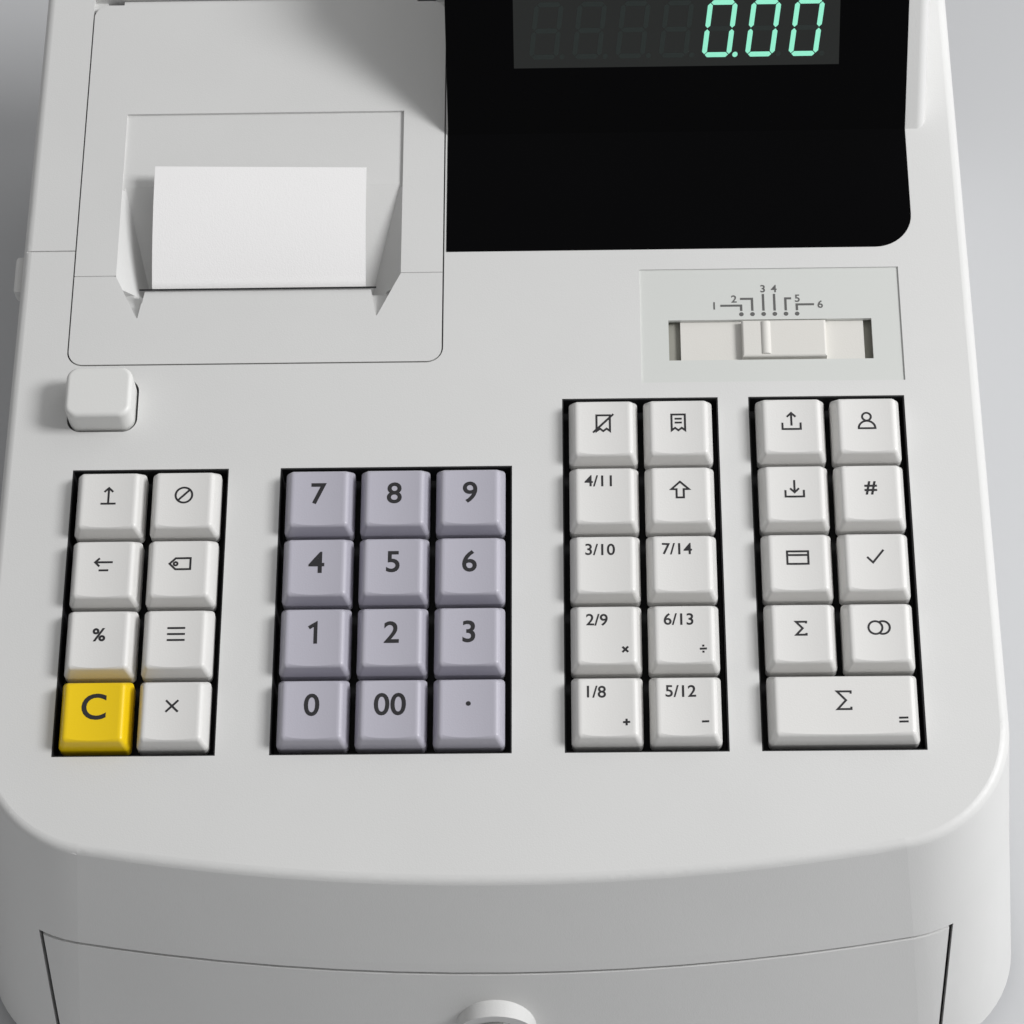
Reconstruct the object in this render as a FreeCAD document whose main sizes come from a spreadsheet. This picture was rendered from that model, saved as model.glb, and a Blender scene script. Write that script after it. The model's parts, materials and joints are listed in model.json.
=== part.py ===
import FreeCAD, Part
import math
import os
import re
import Sketcher
from FreeCAD import Placement, Rotation, Vector

# Compact electronic cash register with a sloping key deck, a receipt printer under a hinged cover,
# an indicator hood, and a cash drawer in its base. Millimetres, X to the right, Y to the rear, Z up.
# The origin is on the table under the middle of the housing.
# Most pieces are drawn in the deck's own frame, where X is across, Y runs up the slope from the
# bottom edge of the key openings, and Z is square to the deck. They are then tilted into place.

SIZES = {
    # Deck frame
    "deck_slope": 11.0, "deck_y": -116.0, "deck_z": 86.2,
    # Housing outlines: at the deck, at the seam above the drawer, and at the foot
    "deck_front": -32.3, "deck_half": 125.6, "deck_rear_half": 123.8, "deck_rear": 286.0,
    "seam_front": -155.0, "seam_half": 129.0, "seam_rear_half": 128.0, "seam_rear": 165.5,
    "foot_front": -166.0, "foot_half": 134.0, "foot_rear_half": 132.0, "foot_rear": 166.0,
    "bow_radius": 585.0, "corner_radius": 32.0, "rear_corner_radius": 12.0,
    "seam_height": 52.0, "foot_height": 4.0, "shell_wall": 2.5, "deck_edge_radius": 2.5,
    # Keys
    "key_pitch": 19.05, "key_border": 0.9, "cap_width": 17.5, "cap_depth": 17.9,
    "cap_side_taper": 1.4, "cap_front_taper": 0.9, "cap_rear_taper": 1.95, "cap_rise": 4.7,
    "cap_skirt": 3.0, "cap_dish_depth": 0.35, "cap_edge_radius": 1.2, "stem_side": 6.0,
    "stem_length": 12.0,
    "key_travel": 3.5, "left_block_x": -107.0, "number_block_x": -53.9,
    "department_block_x": 17.9, "function_block_x": 65.6,
    # Key plate and main board under the deck
    "plate_stop_gap": 1.0, "plate_thickness": 4.0, "plate_margin": 4.0, "guide_clearance": 0.2,
    "board_thickness": 1.6, "dome_radius": 5.0, "dome_height": 1.5, "dome_gap": 0.5,
    "post_radius": 3.5,
    # Printer cover and its paper chute
    "cover_left": -110.5, "cover_right": -13.3, "cover_front": 108.6, "cover_rear": 222.0,
    "cover_thickness": 2.5, "cover_corner_radius": 4.0, "panel_gap": 0.4, "seat_gap": 0.1,
    "ledge_width": 3.0, "ledge_thickness": 2.5, "hinge_radius": 2.2, "pin_radius": 1.0,
    "pin_clearance": 0.05, "pin_reach": 3.2, "pin_end_gap": 0.3, "rim_wall": 0.5,
    "slot_line": 131.0, "chute_middle": -61.9, "chute_rear_half": 37.6,
    "chute_floor_half": 29.6, "chute_depth": 9.0, "chute_end": 166.0, "chute_end_depth": 0.8,
    "run_out_start": 162.0, "run_out_end": 186.0, "chute_wall": 1.6, "slot_width": 3.0,
    "slot_side_gap": 1.0, "lip_length": 4.2, "lip_margin": 2.0, "lip_depth": 0.7,
    "notch_length": 8.6, "notch_depth": 5.0, "notch_tip_half": 31.4, "notch_tip_size": 0.2,
    "crease_line": 135.0, "crease_depth": 0.3,
    # Receipt paper, roll, platen and printer frame
    "paper_width": 56.5, "paper_thickness": 0.3, "paper_bend_radius": 3.5, "paper_tail": 5.0,
    "paper_reach": 31.6, "paper_tilt": 12.0, "paper_slot_gap": 0.7, "paper_sink": 1.5,
    "roll_radius": 24.0, "roll_core_radius": 6.0,
    "roll_line": 178.0, "roll_depth": 34.0, "roll_clearance": 0.3, "trough_wall": 2.0,
    "platen_line": 125.0, "platen_depth": 20.0, "platen_radius": 6.0, "platen_side_gap": 0.5,
    "axle_radius": 2.5, "axle_clearance": 0.05, "axle_reach": 1.0, "cheek_thickness": 2.5,
    "cheek_front": 114.0, "cheek_rear": 206.0, "cheek_top": 13.0, "cheek_bottom": 61.0,
    "cheek_margin": 4.0, "leg_half": 3.0, "front_leg_inset": 2.0, "rear_leg_inset": 6.0,
    "head_length": 12.0,
    "head_height": 12.0, "head_gap": 0.6, "wheel_radius": 8.5, "wheel_thickness": 3.0,
    # Cover release button
    "button_x": -100.5, "button_line": 96.65, "button_width": 17.0, "button_length": 14.3,
    "button_rise": 8.0, "button_skirt": 8.0, "button_radius": 3.2, "button_edge_radius": 1.2,
    "button_gap": 0.6,
    "button_travel": 4.0, "button_stop_gap": 0.8, "well_wall": 2.0, "well_floor": 1.2,
    # Mode switch
    "mode_left": 38.4, "mode_right": 106.1, "mode_front": 101.5, "mode_rear": 135.2,
    "mode_seat": 1.4, "mode_plate_thickness": 1.0, "window_left": 45.7, "window_right": 98.4,
    "window_front": 108.1, "window_rear": 120.0, "slider_left": 48.8, "slider_right": 96.3,
    "slider_overlap": 1.4, "slider_thickness": 1.2, "slider_clearance": 0.15, "grip_left": 64.6,
    "grip_right": 86.4, "grip_rise": 0.5, "grip_inset": 0.6, "ridge_offset": 6.2,
    "ridge_radius": 1.6, "ridge_rise": 0.6, "detent_pitch": 2.9, "detents_left": 2,
    "detents_right": 3, "switch_wall": 1.5, "pan_margin": 2.0,
    # Indicator hood, its black panel and the customer's window
    "hood_left": -12.4, "hood_right": 116.0, "hood_front": 178.0, "hood_top_front": 214.0,
    "hood_top_rear": 258.0, "hood_rear": 276.0, "hood_rise": 40.0, "hood_edge_radius": 2.5,
    "panel_right": 110.5, "panel_front": 141.3, "panel_seat": 0.9, "panel_thickness": 1.1,
    "panel_corner_radius": 10.0, "panel_top_margin": 4.0, "rear_window_left": 22.0,
    "rear_window_right": 100.0, "rear_window_margin": 6.0, "rear_window_thickness": 1.2,
    "glass_gap": 0.1, "glass_rise": 0.2,
    # Seam groove and finger tab on the left edge
    "groove_line": 142.8, "groove_width": 0.4, "groove_depth": 0.5, "tab_front": 132.5,
    "tab_length": 10.5, "tab_reach": 2.5, "tab_drop": 3.0, "tab_height": 5.0, "tab_radius": 1.2,
    # Base cabinet and cash drawer
    "floor_thickness": 3.0, "drawer_front_half": 112.0, "drawer_gap": 1.0,
    "drawer_front_depth": 26.0, "drawer_half": 104.0, "drawer_wall": 2.5, "drawer_height": 33.0,
    "rail_height": 2.0, "rail_width": 5.0, "rail_x": 80.0, "rail_clearance": 0.3,
    "rail_overrun": 10.0,
    "coin_bay_depth": 88.0, "note_bay_depth": 168.0, "drawer_travel": 180.0,
    "stop_half": 6.0, "stop_thickness": 3.0, "stop_rise": 2.0, "stop_gap": 0.4,
    "tray_clearance": 0.5, "tray_height": 27.0, "tray_wall": 2.0, "cup_columns": 4,
    "cup_rows": 2, "cup_floor_radius": 8.0,
    "clip_x": 52.0, "clip_width": 12.0, "clip_reach": 38.0, "clip_hub_radius": 3.0,
    "clip_pin_radius": 1.5, "clip_pivot_height": 9.0, "clip_pivot_setback": 7.0,
    "clip_arm_thickness": 2.0, "clip_rest_gap": 0.3, "clip_side_gap": 0.3, "toe_lap": 0.3,
    "ear_thickness": 2.5, "ear_margin": 1.0,
    # Drawer lock, power inlet and feet
    "lock_x": 0.0, "lock_height": 29.0, "lock_radius": 7.0, "lock_clearance": 0.05,
    "lock_length": 14.0, "lock_boss_wall": 3.0, "lock_boss_length": 9.0, "lock_setback": 3.5,
    "lock_rise": 0.5,
    "keyway_width": 1.4, "keyway_length": 8.0, "keyway_depth": 7.0,
    "inlet_x": -70.0, "inlet_height": 30.0, "inlet_width": 20.0, "inlet_tall": 13.0,
    "inlet_depth": 14.0, "inlet_socket_radius": 2.8, "inlet_socket_depth": 9.5,
    "inlet_rim": 1.2, "pad_radius": 8.0, "pad_x": 104.0,
    "pad_front": -118.0, "pad_rear": 140.0,
    # How far cuts, and pieces sunk into their neighbours, run past the face they meet
    "lap": 1.0,
}
# Two places closer than this are the same place
NEAR = 0.01

doc = FreeCAD.newDocument("cash_register")
sheet = doc.addObject("Spreadsheet::Sheet", "Sizes")
for row, (word, value) in enumerate(SIZES.items(), start=1):
    sheet.set(f"A{row}", word)
    sheet.set(f"B{row}", str(value))
    sheet.setAlias(f"B{row}", word)
doc.recompute()

NODES = []


def formula(text):
    """Turn the plain words of a rule into references to the sheet's cells."""
    return re.sub(r"[a-z][a-z_]*", lambda m: "Sizes." + m[0] if m[0] in SIZES else m[0], str(text))


def number(text):
    """The rule's value as a plain number, for counts and for a sketch's first guess."""
    found = sheet.evalExpression(formula(text))
    return float(getattr(found, "Value", found))


def bind(item, prop, text):
    item.setExpression(prop, formula(text))


def move(item, x="0", y="0", z="0"):
    for letter, text in zip("xyz", (x, y, z)):
        bind(item, f"Placement.Base.{letter}", text)
    return item


def block(name, x_from, x_to, y_from, y_to, z_from, z_to):
    """A box given by where it starts and ends along each axis."""
    item = doc.addObject("Part::Box", name)
    bind(item, "Length", f"({x_to}) - ({x_from})")
    bind(item, "Width", f"({y_to}) - ({y_from})")
    bind(item, "Height", f"({z_to}) - ({z_from})")
    return move(item, x_from, y_from, z_from)


TURNS = {"x": Rotation(Vector(0, 1, 0), 90), "y": Rotation(Vector(1, 0, 0), -90), "z": Rotation()}


def rod(name, axis, radius, length, x, y, z):
    """A cylinder that starts at a point and runs along one axis."""
    item = doc.addObject("Part::Cylinder", name)
    item.Placement = Placement(Vector(), TURNS[axis])
    bind(item, "Radius", radius)
    bind(item, "Height", length)
    return move(item, x, y, z)


def wedge(name, low, high, y_from, y_to):
    """A tapered block along Y: low and high give x_from, x_to, z_from, z_to at its two ends."""
    item = doc.addObject("Part::Wedge", name)
    for prop, text in zip(("Xmin", "Xmax", "Zmin", "Zmax"), low):
        bind(item, prop, text)
    for prop, text in zip(("X2min", "X2max", "Z2min", "Z2max"), high):
        bind(item, prop, text)
    bind(item, "Ymin", y_from)
    bind(item, "Ymax", y_to)
    return item


def union(name, *items):
    item = doc.addObject("Part::MultiFuse", name)
    item.Shapes = list(items)
    return item


def group(name, items):
    item = doc.addObject("Part::Compound", name)
    item.Links = list(items)
    return item


def minus(name, base, *tools):
    item = doc.addObject("Part::Cut", name)
    item.Base = base
    item.Tool = tools[0] if len(tools) == 1 else union(name + "_tools", *tools)
    return item


def overlap(name, base, tool):
    item = doc.addObject("Part::Common", name)
    item.Base = base
    item.Tool = tool
    return item


def rounded(name, base, radius, wanted):
    """Fillet the edges that a test picks out."""
    doc.recompute()
    item = doc.addObject("Part::Fillet", name)
    item.Base = base
    size = number(radius)
    edges = [i for i, edge in enumerate(base.Shape.Edges, start=1) if wanted(edge)]
    if not edges:
        raise RuntimeError(f"{name}: no edge to round")
    item.Edges = [(i, size, size) for i in edges]
    return item


def upright(edge):
    ends = [v.Point for v in edge.Vertexes]
    return len(ends) == 2 and (ends[0] - ends[1]).getAngle(Vector(0, 0, 1)) % math.pi < NEAR


def at_height(level):
    """A test for the edges that lie at one height."""
    return lambda edge: abs(edge.BoundBox.ZMin - level) < NEAR and edge.BoundBox.ZLength < NEAR


def tilt(item, x="0", line="0"):
    """Tilt a piece out of the deck's frame into its place, at one point of the deck."""
    item.Placement = Placement(Vector(), Rotation(Vector(1, 0, 0), number("deck_slope")))
    bind(item, "Placement.Rotation.Angle", "deck_slope")
    return move(
        item, x, f"deck_y + ({line}) * cos(deck_slope)", f"deck_z + ({line}) * sin(deck_slope)",
    )


def keep(item, node):
    """Name a finished piece, which also names its file."""
    item.Label = node
    NODES.append((node, item))
    return item


def rounded_plate(name, x_from, x_to, y_from, y_to, z_from, z_to, radius):
    """A flat block with round upright corners."""
    base = block(name + "_blank", x_from, x_to, y_from, y_to, z_from, z_to)
    return rounded(name, base, radius, upright)


# Housing outlines

def outline(name, level, inset):
    """Plan outline of the housing at one level: bowed front, round corners and tapered sides."""
    front, rear = f"{level}_front + {inset}", f"{level}_rear - {inset}"
    half, rear_half = f"{level}_half - {inset}", f"{level}_rear_half - {inset}"
    bow, corner = f"bow_radius - {inset}", f"corner_radius - {inset}"
    rear_corner = f"rear_corner_radius - {inset}"
    sketch = doc.addObject("Sketcher::SketchObject", name)
    big, small, tail = number(bow), number(corner), number(rear_corner)
    side, back_side = number(half), number(rear_half)
    bow_y, back = number(front) + big, number(rear)
    corner_y = bow_y - math.sqrt((big - small) ** 2 - (side - small) ** 2)
    lean = math.atan2(corner_y - bow_y, side - small)
    z_axis = Vector(0, 0, 1)

    def arc(x, y, radius, start, end):
        return Part.ArcOfCircle(Part.Circle(Vector(x, y, 0), z_axis, radius), start, end)

    def line(x1, y1, x2, y2):
        return Part.LineSegment(Vector(x1, y1, 0), Vector(x2, y2, 0))

    quarter = math.pi / 2
    for piece in (
        arc(0, bow_y, big, -math.pi - lean, lean),
        arc(side - small, corner_y, small, lean, 0),
        line(side, corner_y, back_side, back - tail),
        arc(back_side - tail, back - tail, tail, 0, quarter),
        line(back_side - tail, back, tail - back_side, back),
        arc(tail - back_side, back - tail, tail, quarter, 2 * quarter),
        line(-back_side, back - tail, -side, corner_y),
        arc(small - side, corner_y, small, 2 * quarter, 4 * quarter - math.pi - lean),
    ):
        sketch.addGeometry(piece, False)
    for piece in range(8):
        sketch.addConstraint(Sketcher.Constraint("Tangent", piece, 2, (piece + 1) % 8, 1))
    sketch.addConstraint(Sketcher.Constraint("PointOnObject", 0, 3, -2))
    sketch.addConstraint(Sketcher.Constraint("Horizontal", 4))
    sketch.addConstraint(Sketcher.Constraint("Equal", 1, 7))
    sketch.addConstraint(Sketcher.Constraint("Equal", 3, 5))
    sizes = (
        ("Radius", (0,), bow), ("Radius", (1,), corner), ("Radius", (3,), rear_corner),
        ("DistanceY", (-1, 1, 0, 3), f"{front} + {bow}"), ("DistanceY", (-1, 1, 4, 1), rear),
        ("DistanceX", (-1, 1, 1, 2), half), ("DistanceX", (7, 1, -1, 1), half),
        ("DistanceX", (-1, 1, 2, 2), rear_half), ("DistanceX", (6, 1, -1, 1), rear_half),
    )
    for kind, where, text in sizes:
        index = sketch.addConstraint(Sketcher.Constraint(kind, *where, number(text)))
        bind(sketch, f"Constraints[{index}]", text)
    return sketch


def loft(name, low, high):
    item = doc.addObject("Part::Loft", name)
    item.Sections = [low, high]
    item.Solid = True
    item.Ruled = True
    return item


def housing_outlines(inset, name):
    """The outlines at the foot, at the seam and at the deck, moved in by one wall or by none."""
    foot = move(outline(f"foot_{name}", "foot", inset), "0", "0", "foot_height")
    seam = move(outline(f"seam_{name}", "seam", inset), "0", "0", "seam_height")
    deck = tilt(outline(f"deck_{name}", "deck", inset))
    bind(deck, "Placement.Base.y", f"deck_y + {inset} * sin(deck_slope)")
    bind(deck, "Placement.Base.z", f"deck_z - {inset} * cos(deck_slope)")
    return foot, seam, deck


foot_outer, seam_outer, deck_outer = housing_outlines("0", "outer")
foot_inner, seam_inner, deck_inner = housing_outlines("shell_wall", "inner")
cabinet_outer = loft("cabinet_outer", foot_outer, seam_outer)
cabinet_inner = loft("cabinet_inner", foot_inner, seam_inner)
housing_outer = loft("housing_outer", seam_outer, deck_outer)
housing_inner = loft("housing_inner", seam_inner, deck_inner)


def on_deck(edge):
    """Whether an edge of the housing lies in the deck's own plane."""
    slope = math.radians(number("deck_slope"))
    normal = Vector(0, -math.sin(slope), math.cos(slope))
    start = Vector(0, number("deck_y"), number("deck_z"))
    return all(abs((v.Point - start).dot(normal)) < NEAR for v in edge.Vertexes)


housing_skin = rounded("housing_skin", housing_outer, "deck_edge_radius", on_deck)


# Indicator hood

def profile(name, points, x_from, x_to):
    """A solid of one side view, given as Y and Z rules, between two places across."""
    sketch = doc.addObject("Sketcher::SketchObject", name + "_profile")
    sketch.Placement = Placement(Vector(), Rotation(Vector(1, 1, 1), 120))
    bind(sketch, "Placement.Base.x", x_from)
    corners = [Vector(number(y), number(z), 0) for y, z in points]
    count = len(corners)
    for i in range(count):
        sketch.addGeometry(Part.LineSegment(corners[i], corners[(i + 1) % count]), False)
    for i in range(count):
        sketch.addConstraint(Sketcher.Constraint("Coincident", i, 2, (i + 1) % count, 1))
    for i, (y, z) in enumerate(points):
        for kind, text in (("DistanceX", y), ("DistanceY", z)):
            index = sketch.addConstraint(Sketcher.Constraint(kind, -1, 1, i, 1, number(text)))
            bind(sketch, f"Constraints[{index}]", text)
    item = doc.addObject("Part::Extrusion", name)
    item.Base = sketch
    item.DirMode = "Normal"
    item.Solid = True
    bind(item, "LengthFwd", f"({x_to}) - ({x_from})")
    return item


HOOD_ANGLE = "atan(hood_rise / (hood_top_front - hood_front))"
HOOD_FACE = "sqrt(hood_rise ^ 2 + (hood_top_front - hood_front) ^ 2)"
REAR_ANGLE = "atan(hood_rise / (hood_rear - hood_top_rear))"
REAR_FACE = "sqrt(hood_rise ^ 2 + (hood_rear - hood_top_rear) ^ 2)"


def hood_points(inset, below):
    """Side view of the hood. Its slanted faces move in square to themselves."""
    front, rear = f"hood_front + {inset} / sin({HOOD_ANGLE})", f"hood_rear - {inset} / sin({REAR_ANGLE})"
    top = f"hood_rise - {inset}"
    return (
        (front, f"-({below})"),
        (front, "0"),
        (f"hood_top_front + {inset} * tan({HOOD_ANGLE} / 2)", top),
        (f"hood_top_rear - {inset} * tan({REAR_ANGLE} / 2)", top),
        (rear, "0"),
        (rear, f"-({below})"),
    )


hood_block = profile("hood_block", hood_points("0", "shell_wall / 2"), "hood_left", "hood_right")
hood_skin = rounded(
    "hood_skin", hood_block, "hood_edge_radius",
    lambda edge: min(v.Point.z for v in edge.Vertexes) > -NEAR and edge.BoundBox.ZMax > NEAR,
)
hood_hollow = profile(
    "hood_hollow", hood_points("shell_wall", "shell_wall + lap"),
    "hood_left + shell_wall", "hood_right - shell_wall",
)
hood_skin = tilt(group("hood_outer", [hood_skin]))
hood_hollow = tilt(group("hood_inner", [hood_hollow]))

def swing(item, angle, y, z):
    """Turn a block about an axis along X, to lie on a slanted face that starts at y and z."""
    item.Placement = Placement(Vector(), Rotation(Vector(1, 0, 0), number(angle)))
    bind(item, "Placement.Rotation.Angle", angle)
    return move(item, "0", y, z)


def black_panel(name, gap, low, high):
    """The bent panel: a part flat on the deck and a part that climbs the hood's face."""
    flat = block(
        name + "_flat", f"hood_left - {gap}", f"panel_right + {gap}", f"panel_front - {gap}",
        "hood_front + panel_thickness", low, high,
    )
    nose = number(f"panel_right + {gap}")
    lower_edge = number(f"panel_front - {gap}")
    corner = rounded(
        name + "_corner", flat, "panel_corner_radius",
        lambda edge: upright(edge) and edge.BoundBox.YMin < lower_edge + NEAR
        and edge.BoundBox.XMin > nose - NEAR,
    )
    climb = block(
        name + "_climb", f"hood_left - {gap}", f"panel_right + {gap}", f"-{gap}",
        f"{HOOD_FACE} - panel_top_margin + {gap}", low, high,
    )
    holder = swing(group(name + "_face", [climb]), HOOD_ANGLE, "hood_front", "0")
    return union(name, corner, holder)


# Top cover

def window(name, x_from, x_to, y_from, y_to, depth, rise="lap"):
    """A cut through or into the deck from above."""
    return block(name, x_from, x_to, y_from, y_to, f"-({depth})", rise)


KEY_BLOCKS = (
    ("left_block_x", 2, 4), ("number_block_x", 3, 4), ("department_block_x", 2, 5),
    ("function_block_x", 2, 5),
)
cuts = [
    window(
        f"key_opening_{number_of}", start, f"{start} + {columns} * key_pitch + 2 * key_border",
        "0", f"{rows} * key_pitch + 2 * key_border", "shell_wall + lap",
    )
    for number_of, (start, columns, rows) in enumerate(KEY_BLOCKS, start=1)
]
cuts.append(rounded_plate(
    "cover_rebate", "cover_left - panel_gap", "cover_right + panel_gap",
    "cover_front - panel_gap", "cover_rear + hinge_radius + panel_gap",
    "-(cover_thickness + seat_gap)", "lap", "cover_corner_radius + panel_gap",
))
cuts.append(window(
    "hinge_rebate", "cover_left - panel_gap", "cover_right + panel_gap",
    "cover_rear - 2 * cover_corner_radius", "cover_rear + hinge_radius + panel_gap",
    "cover_thickness + seat_gap",
))
cuts.append(window(
    "printer_opening", "cover_left + ledge_width", "cover_right - ledge_width",
    "cover_front + ledge_width", "cover_rear + hinge_radius + panel_gap",
    "shell_wall + ledge_thickness + lap",
))
HINGE = ("cover_rear", "-hinge_radius")
PIN_ROOM = "(pin_reach + pin_end_gap)"
RIM = f"({PIN_ROOM} + rim_wall)"
cuts.append(rod(
    "hinge_bore", "x", "pin_radius + pin_clearance",
    f"cover_right - cover_left + 2 * {PIN_ROOM}", f"cover_left - {PIN_ROOM}", *HINGE,
))
WELL_BOTTOM = "-button_skirt - button_travel - button_stop_gap"
cuts.append(rounded_plate(
    "button_well", "button_x - button_width / 2 - button_gap",
    "button_x + button_width / 2 + button_gap", "button_line - button_length / 2 - button_gap",
    "button_line + button_length / 2 + button_gap", WELL_BOTTOM, "lap",
    "button_radius + button_gap",
))
cuts.append(window("mode_seat_cut", "mode_left", "mode_right", "mode_front", "mode_rear", "mode_seat"))
SLIDE_FLOOR = "mode_seat + slider_thickness + 2 * slider_clearance"
cuts.append(window(
    "slider_channel", "slider_left - detents_left * detent_pitch - slider_clearance",
    "slider_right + detents_right * detent_pitch + slider_clearance",
    "window_front - slider_overlap - slider_clearance",
    "window_rear + slider_overlap + slider_clearance", SLIDE_FLOOR,
))
cuts.append(window(
    "switch_opening", "window_left", "window_right", "window_front + slider_overlap",
    "window_rear - slider_overlap", "shell_wall + switch_wall + lap",
))
cuts.append(black_panel("panel_seat_cut", "0", "-panel_seat", "lap"))
cuts.append(block(
    "seam_groove", "-deck_half - lap", "cover_left - panel_gap / 2", "groove_line",
    "groove_line + groove_width", "-groove_depth", "lap",
))
rear_seat = block(
    "rear_seat_blank", "rear_window_left", "rear_window_right",
    f"-{REAR_FACE} + rear_window_margin", "-rear_window_margin", "-rear_window_thickness", "lap",
)
rear_seat_cut = swing(group("rear_seat_cut", [rear_seat]), f"-{REAR_ANGLE}", "hood_rear", "0")
cuts.append(rear_seat_cut)
deck_cuts = tilt(union("deck_cuts", *cuts))

under_deck = [
    block(
        "printer_rim", f"cover_left - {RIM}", f"cover_right + {RIM}", f"cover_front - {RIM}",
        f"cover_rear + hinge_radius + {RIM}", "-shell_wall - ledge_thickness", "-shell_wall / 2",
    ),
    block(
        "button_tube", "button_x - button_width / 2 - button_gap - well_wall",
        "button_x + button_width / 2 + button_gap + well_wall",
        "button_line - button_length / 2 - button_gap - well_wall",
        "button_line + button_length / 2 + button_gap + well_wall", f"{WELL_BOTTOM} - well_floor",
        "-shell_wall / 2",
    ),
    block(
        "switch_pan", "slider_left - detents_left * detent_pitch - pan_margin",
        "slider_right + detents_right * detent_pitch + pan_margin",
        "window_front - slider_overlap - pan_margin", "window_rear + slider_overlap + pan_margin",
        "-shell_wall - switch_wall", "-shell_wall / 2",
    ),
]
PLATE_TOP = "-cap_skirt - key_travel - plate_stop_gap"
BOARD_TOP = "-cap_skirt - stem_length - key_travel - dome_gap - dome_height"
POSTS = [
    (
        f"({block_x} + {columns} * key_pitch + 2 * key_border + {next_x}) / 2",
        f"key_border + {row} * key_pitch",
    )
    for block_x, columns, next_x in (
        ("left_block_x", 2, "number_block_x"), ("number_block_x", 3, "department_block_x"),
    )
    for row in (0.5, 3.5)
]
for index, (x, y) in enumerate(POSTS, start=1):
    under_deck.append(rod(
        f"deck_post_{index}", "z", "post_radius", f"-shell_wall / 2 - ({PLATE_TOP})", x, y,
        PLATE_TOP,
    ))
# Where the front corner's arc meets the side, and how far out the side is beside the tab
CORNER_LINE = (
    "(deck_front + bow_radius"
    " - sqrt((bow_radius - corner_radius) ^ 2 - (deck_half - corner_radius) ^ 2))"
)
SIDE_AT_TAB = (
    f"(deck_half - (deck_half - deck_rear_half) * (tab_front - {CORNER_LINE})"
    f" / (deck_rear - rear_corner_radius - {CORNER_LINE}))"
)
tab = block(
    "tab_blank", f"-{SIDE_AT_TAB} - tab_reach", f"-{SIDE_AT_TAB} + shell_wall / 2", "tab_front",
    "tab_front + tab_length", "-tab_drop - tab_height", "-tab_drop",
)
TAB_LINE = number(f"-{SIDE_AT_TAB} - tab_reach / 2")
under_deck.append(rounded("side_tab", tab, "tab_radius", lambda edge: edge.BoundBox.XMax < TAB_LINE))

inner_parts = tilt(union("inner_parts", *under_deck))
cover_outside = union("cover_outside", housing_skin, hood_skin)
cover_hollow = union("cover_hollow", housing_inner, hood_hollow)
cover_shell = minus("cover_shell", cover_outside, cover_hollow)
cover_body = union("cover_body", cover_shell, inner_parts)
keep(minus("top_cover_body", cover_body, deck_cuts), "top_cover")

# Keys

def cap_form(name, extra):
    """A tapered cap with a shallow dish and a skirt, made wider by extra."""
    base, top = f"(cap_width + {extra}) / 2", f"((cap_width + {extra}) / 2 - cap_side_taper)"
    taper = doc.addObject("Part::Wedge", name + "_taper")
    taper.Placement = Placement(Vector(), Rotation(Vector(1, 0, 0), 90))
    for prop, text in (
        ("Xmin", f"-{base}"), ("Xmax", base), ("Zmin", "-cap_depth / 2"), ("Zmax", "cap_depth / 2"),
        ("Ymin", "0"), ("Ymax", "cap_rise"), ("X2min", f"-{top}"), ("X2max", top),
        ("Z2min", "cap_rear_taper - cap_depth / 2"), ("Z2max", "cap_depth / 2 - cap_front_taper"),
    ):
        bind(taper, prop, text)
    smooth = rounded(
        name + "_smooth", taper, "cap_edge_radius", lambda edge: edge.BoundBox.ZMax > NEAR,
    )
    flat_half = f"({top} - cap_edge_radius)"
    dish_radius = f"({flat_half} ^ 2 + cap_dish_depth ^ 2) / (2 * cap_dish_depth)"
    dishes = rod(
        name + "_dish", "y", dish_radius, "2 * cap_depth", "0", "-cap_depth",
        f"cap_rise - cap_dish_depth + {dish_radius}",
    )
    skirt = rounded_plate(
        name + "_skirt", f"-{base}", base, "-cap_depth / 2", "cap_depth / 2", "-cap_skirt", "0",
        "cap_edge_radius",
    )
    return minus(name, smooth, dishes), skirt


def stem(name, x):
    return block(
        name, f"{x} - stem_side / 2", f"{x} + stem_side / 2", "-stem_side / 2", "stem_side / 2",
        "-cap_skirt - stem_length", "-cap_skirt",
    )


narrow_parts = [*cap_form("narrow_cap", "0"), stem("middle_stem", "0")]
wide_parts = [
    *cap_form("wide_cap", "key_pitch"), stem("left_stem", "-key_pitch / 2"),
    stem("right_stem", "key_pitch / 2"),
]
KEY_NAMES = (
    (("feed", "void"), ("refund", "price"), ("percent", "lookup"), ("clear", "quantity")),
    (("7", "8", "9"), ("4", "5", "6"), ("1", "2", "3"), ("0", "00", "point")),
    (
        ("receipt_off", "receipt_issue"), ("department_4", "department_shift"),
        ("department_3", "department_7"), ("department_2", "department_6"),
        ("department_1", "department_5"),
    ),
    (("paid_out", "clerk"), ("received", "no_sale"), ("card", "check"), ("subtotal", "charge"),
     ("total",)),
)
guide_places = []
for (start, columns, rows), names in zip(KEY_BLOCKS, KEY_NAMES):
    for row, row_names in enumerate(names):
        line = f"key_border + {rows - row - 0.5} * key_pitch"
        guide_places += [
            (f"{start} + key_border + {column + 0.5} * key_pitch", line)
            for column in range(columns)
        ]
        wide = len(row_names) < columns
        for column, key_name in enumerate(row_names):
            middle = 1.0 if wide else column + 0.5
            key = union(f"cap_{key_name}", *(wide_parts if wide else narrow_parts))
            tilt(key, f"{start} + key_border + {middle} * key_pitch", line)
            keep(key, f"key_{key_name}")


# Key plate and main board

def key_field(name, low, high):
    """A flat piece under all four key blocks, lower at the left, clear of the release button."""
    right = "function_block_x + 2 * key_pitch + 2 * key_border + plate_margin"
    return union(
        name,
        block(
            name + "_low", "left_block_x - plate_margin", right, "-plate_margin",
            "4 * key_pitch + 2 * key_border + plate_margin", low, high,
        ),
        block(
            name + "_high", "department_block_x - plate_margin", right, "-plate_margin",
            "5 * key_pitch + 2 * key_border + plate_margin", low, high,
        ),
    )


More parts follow.
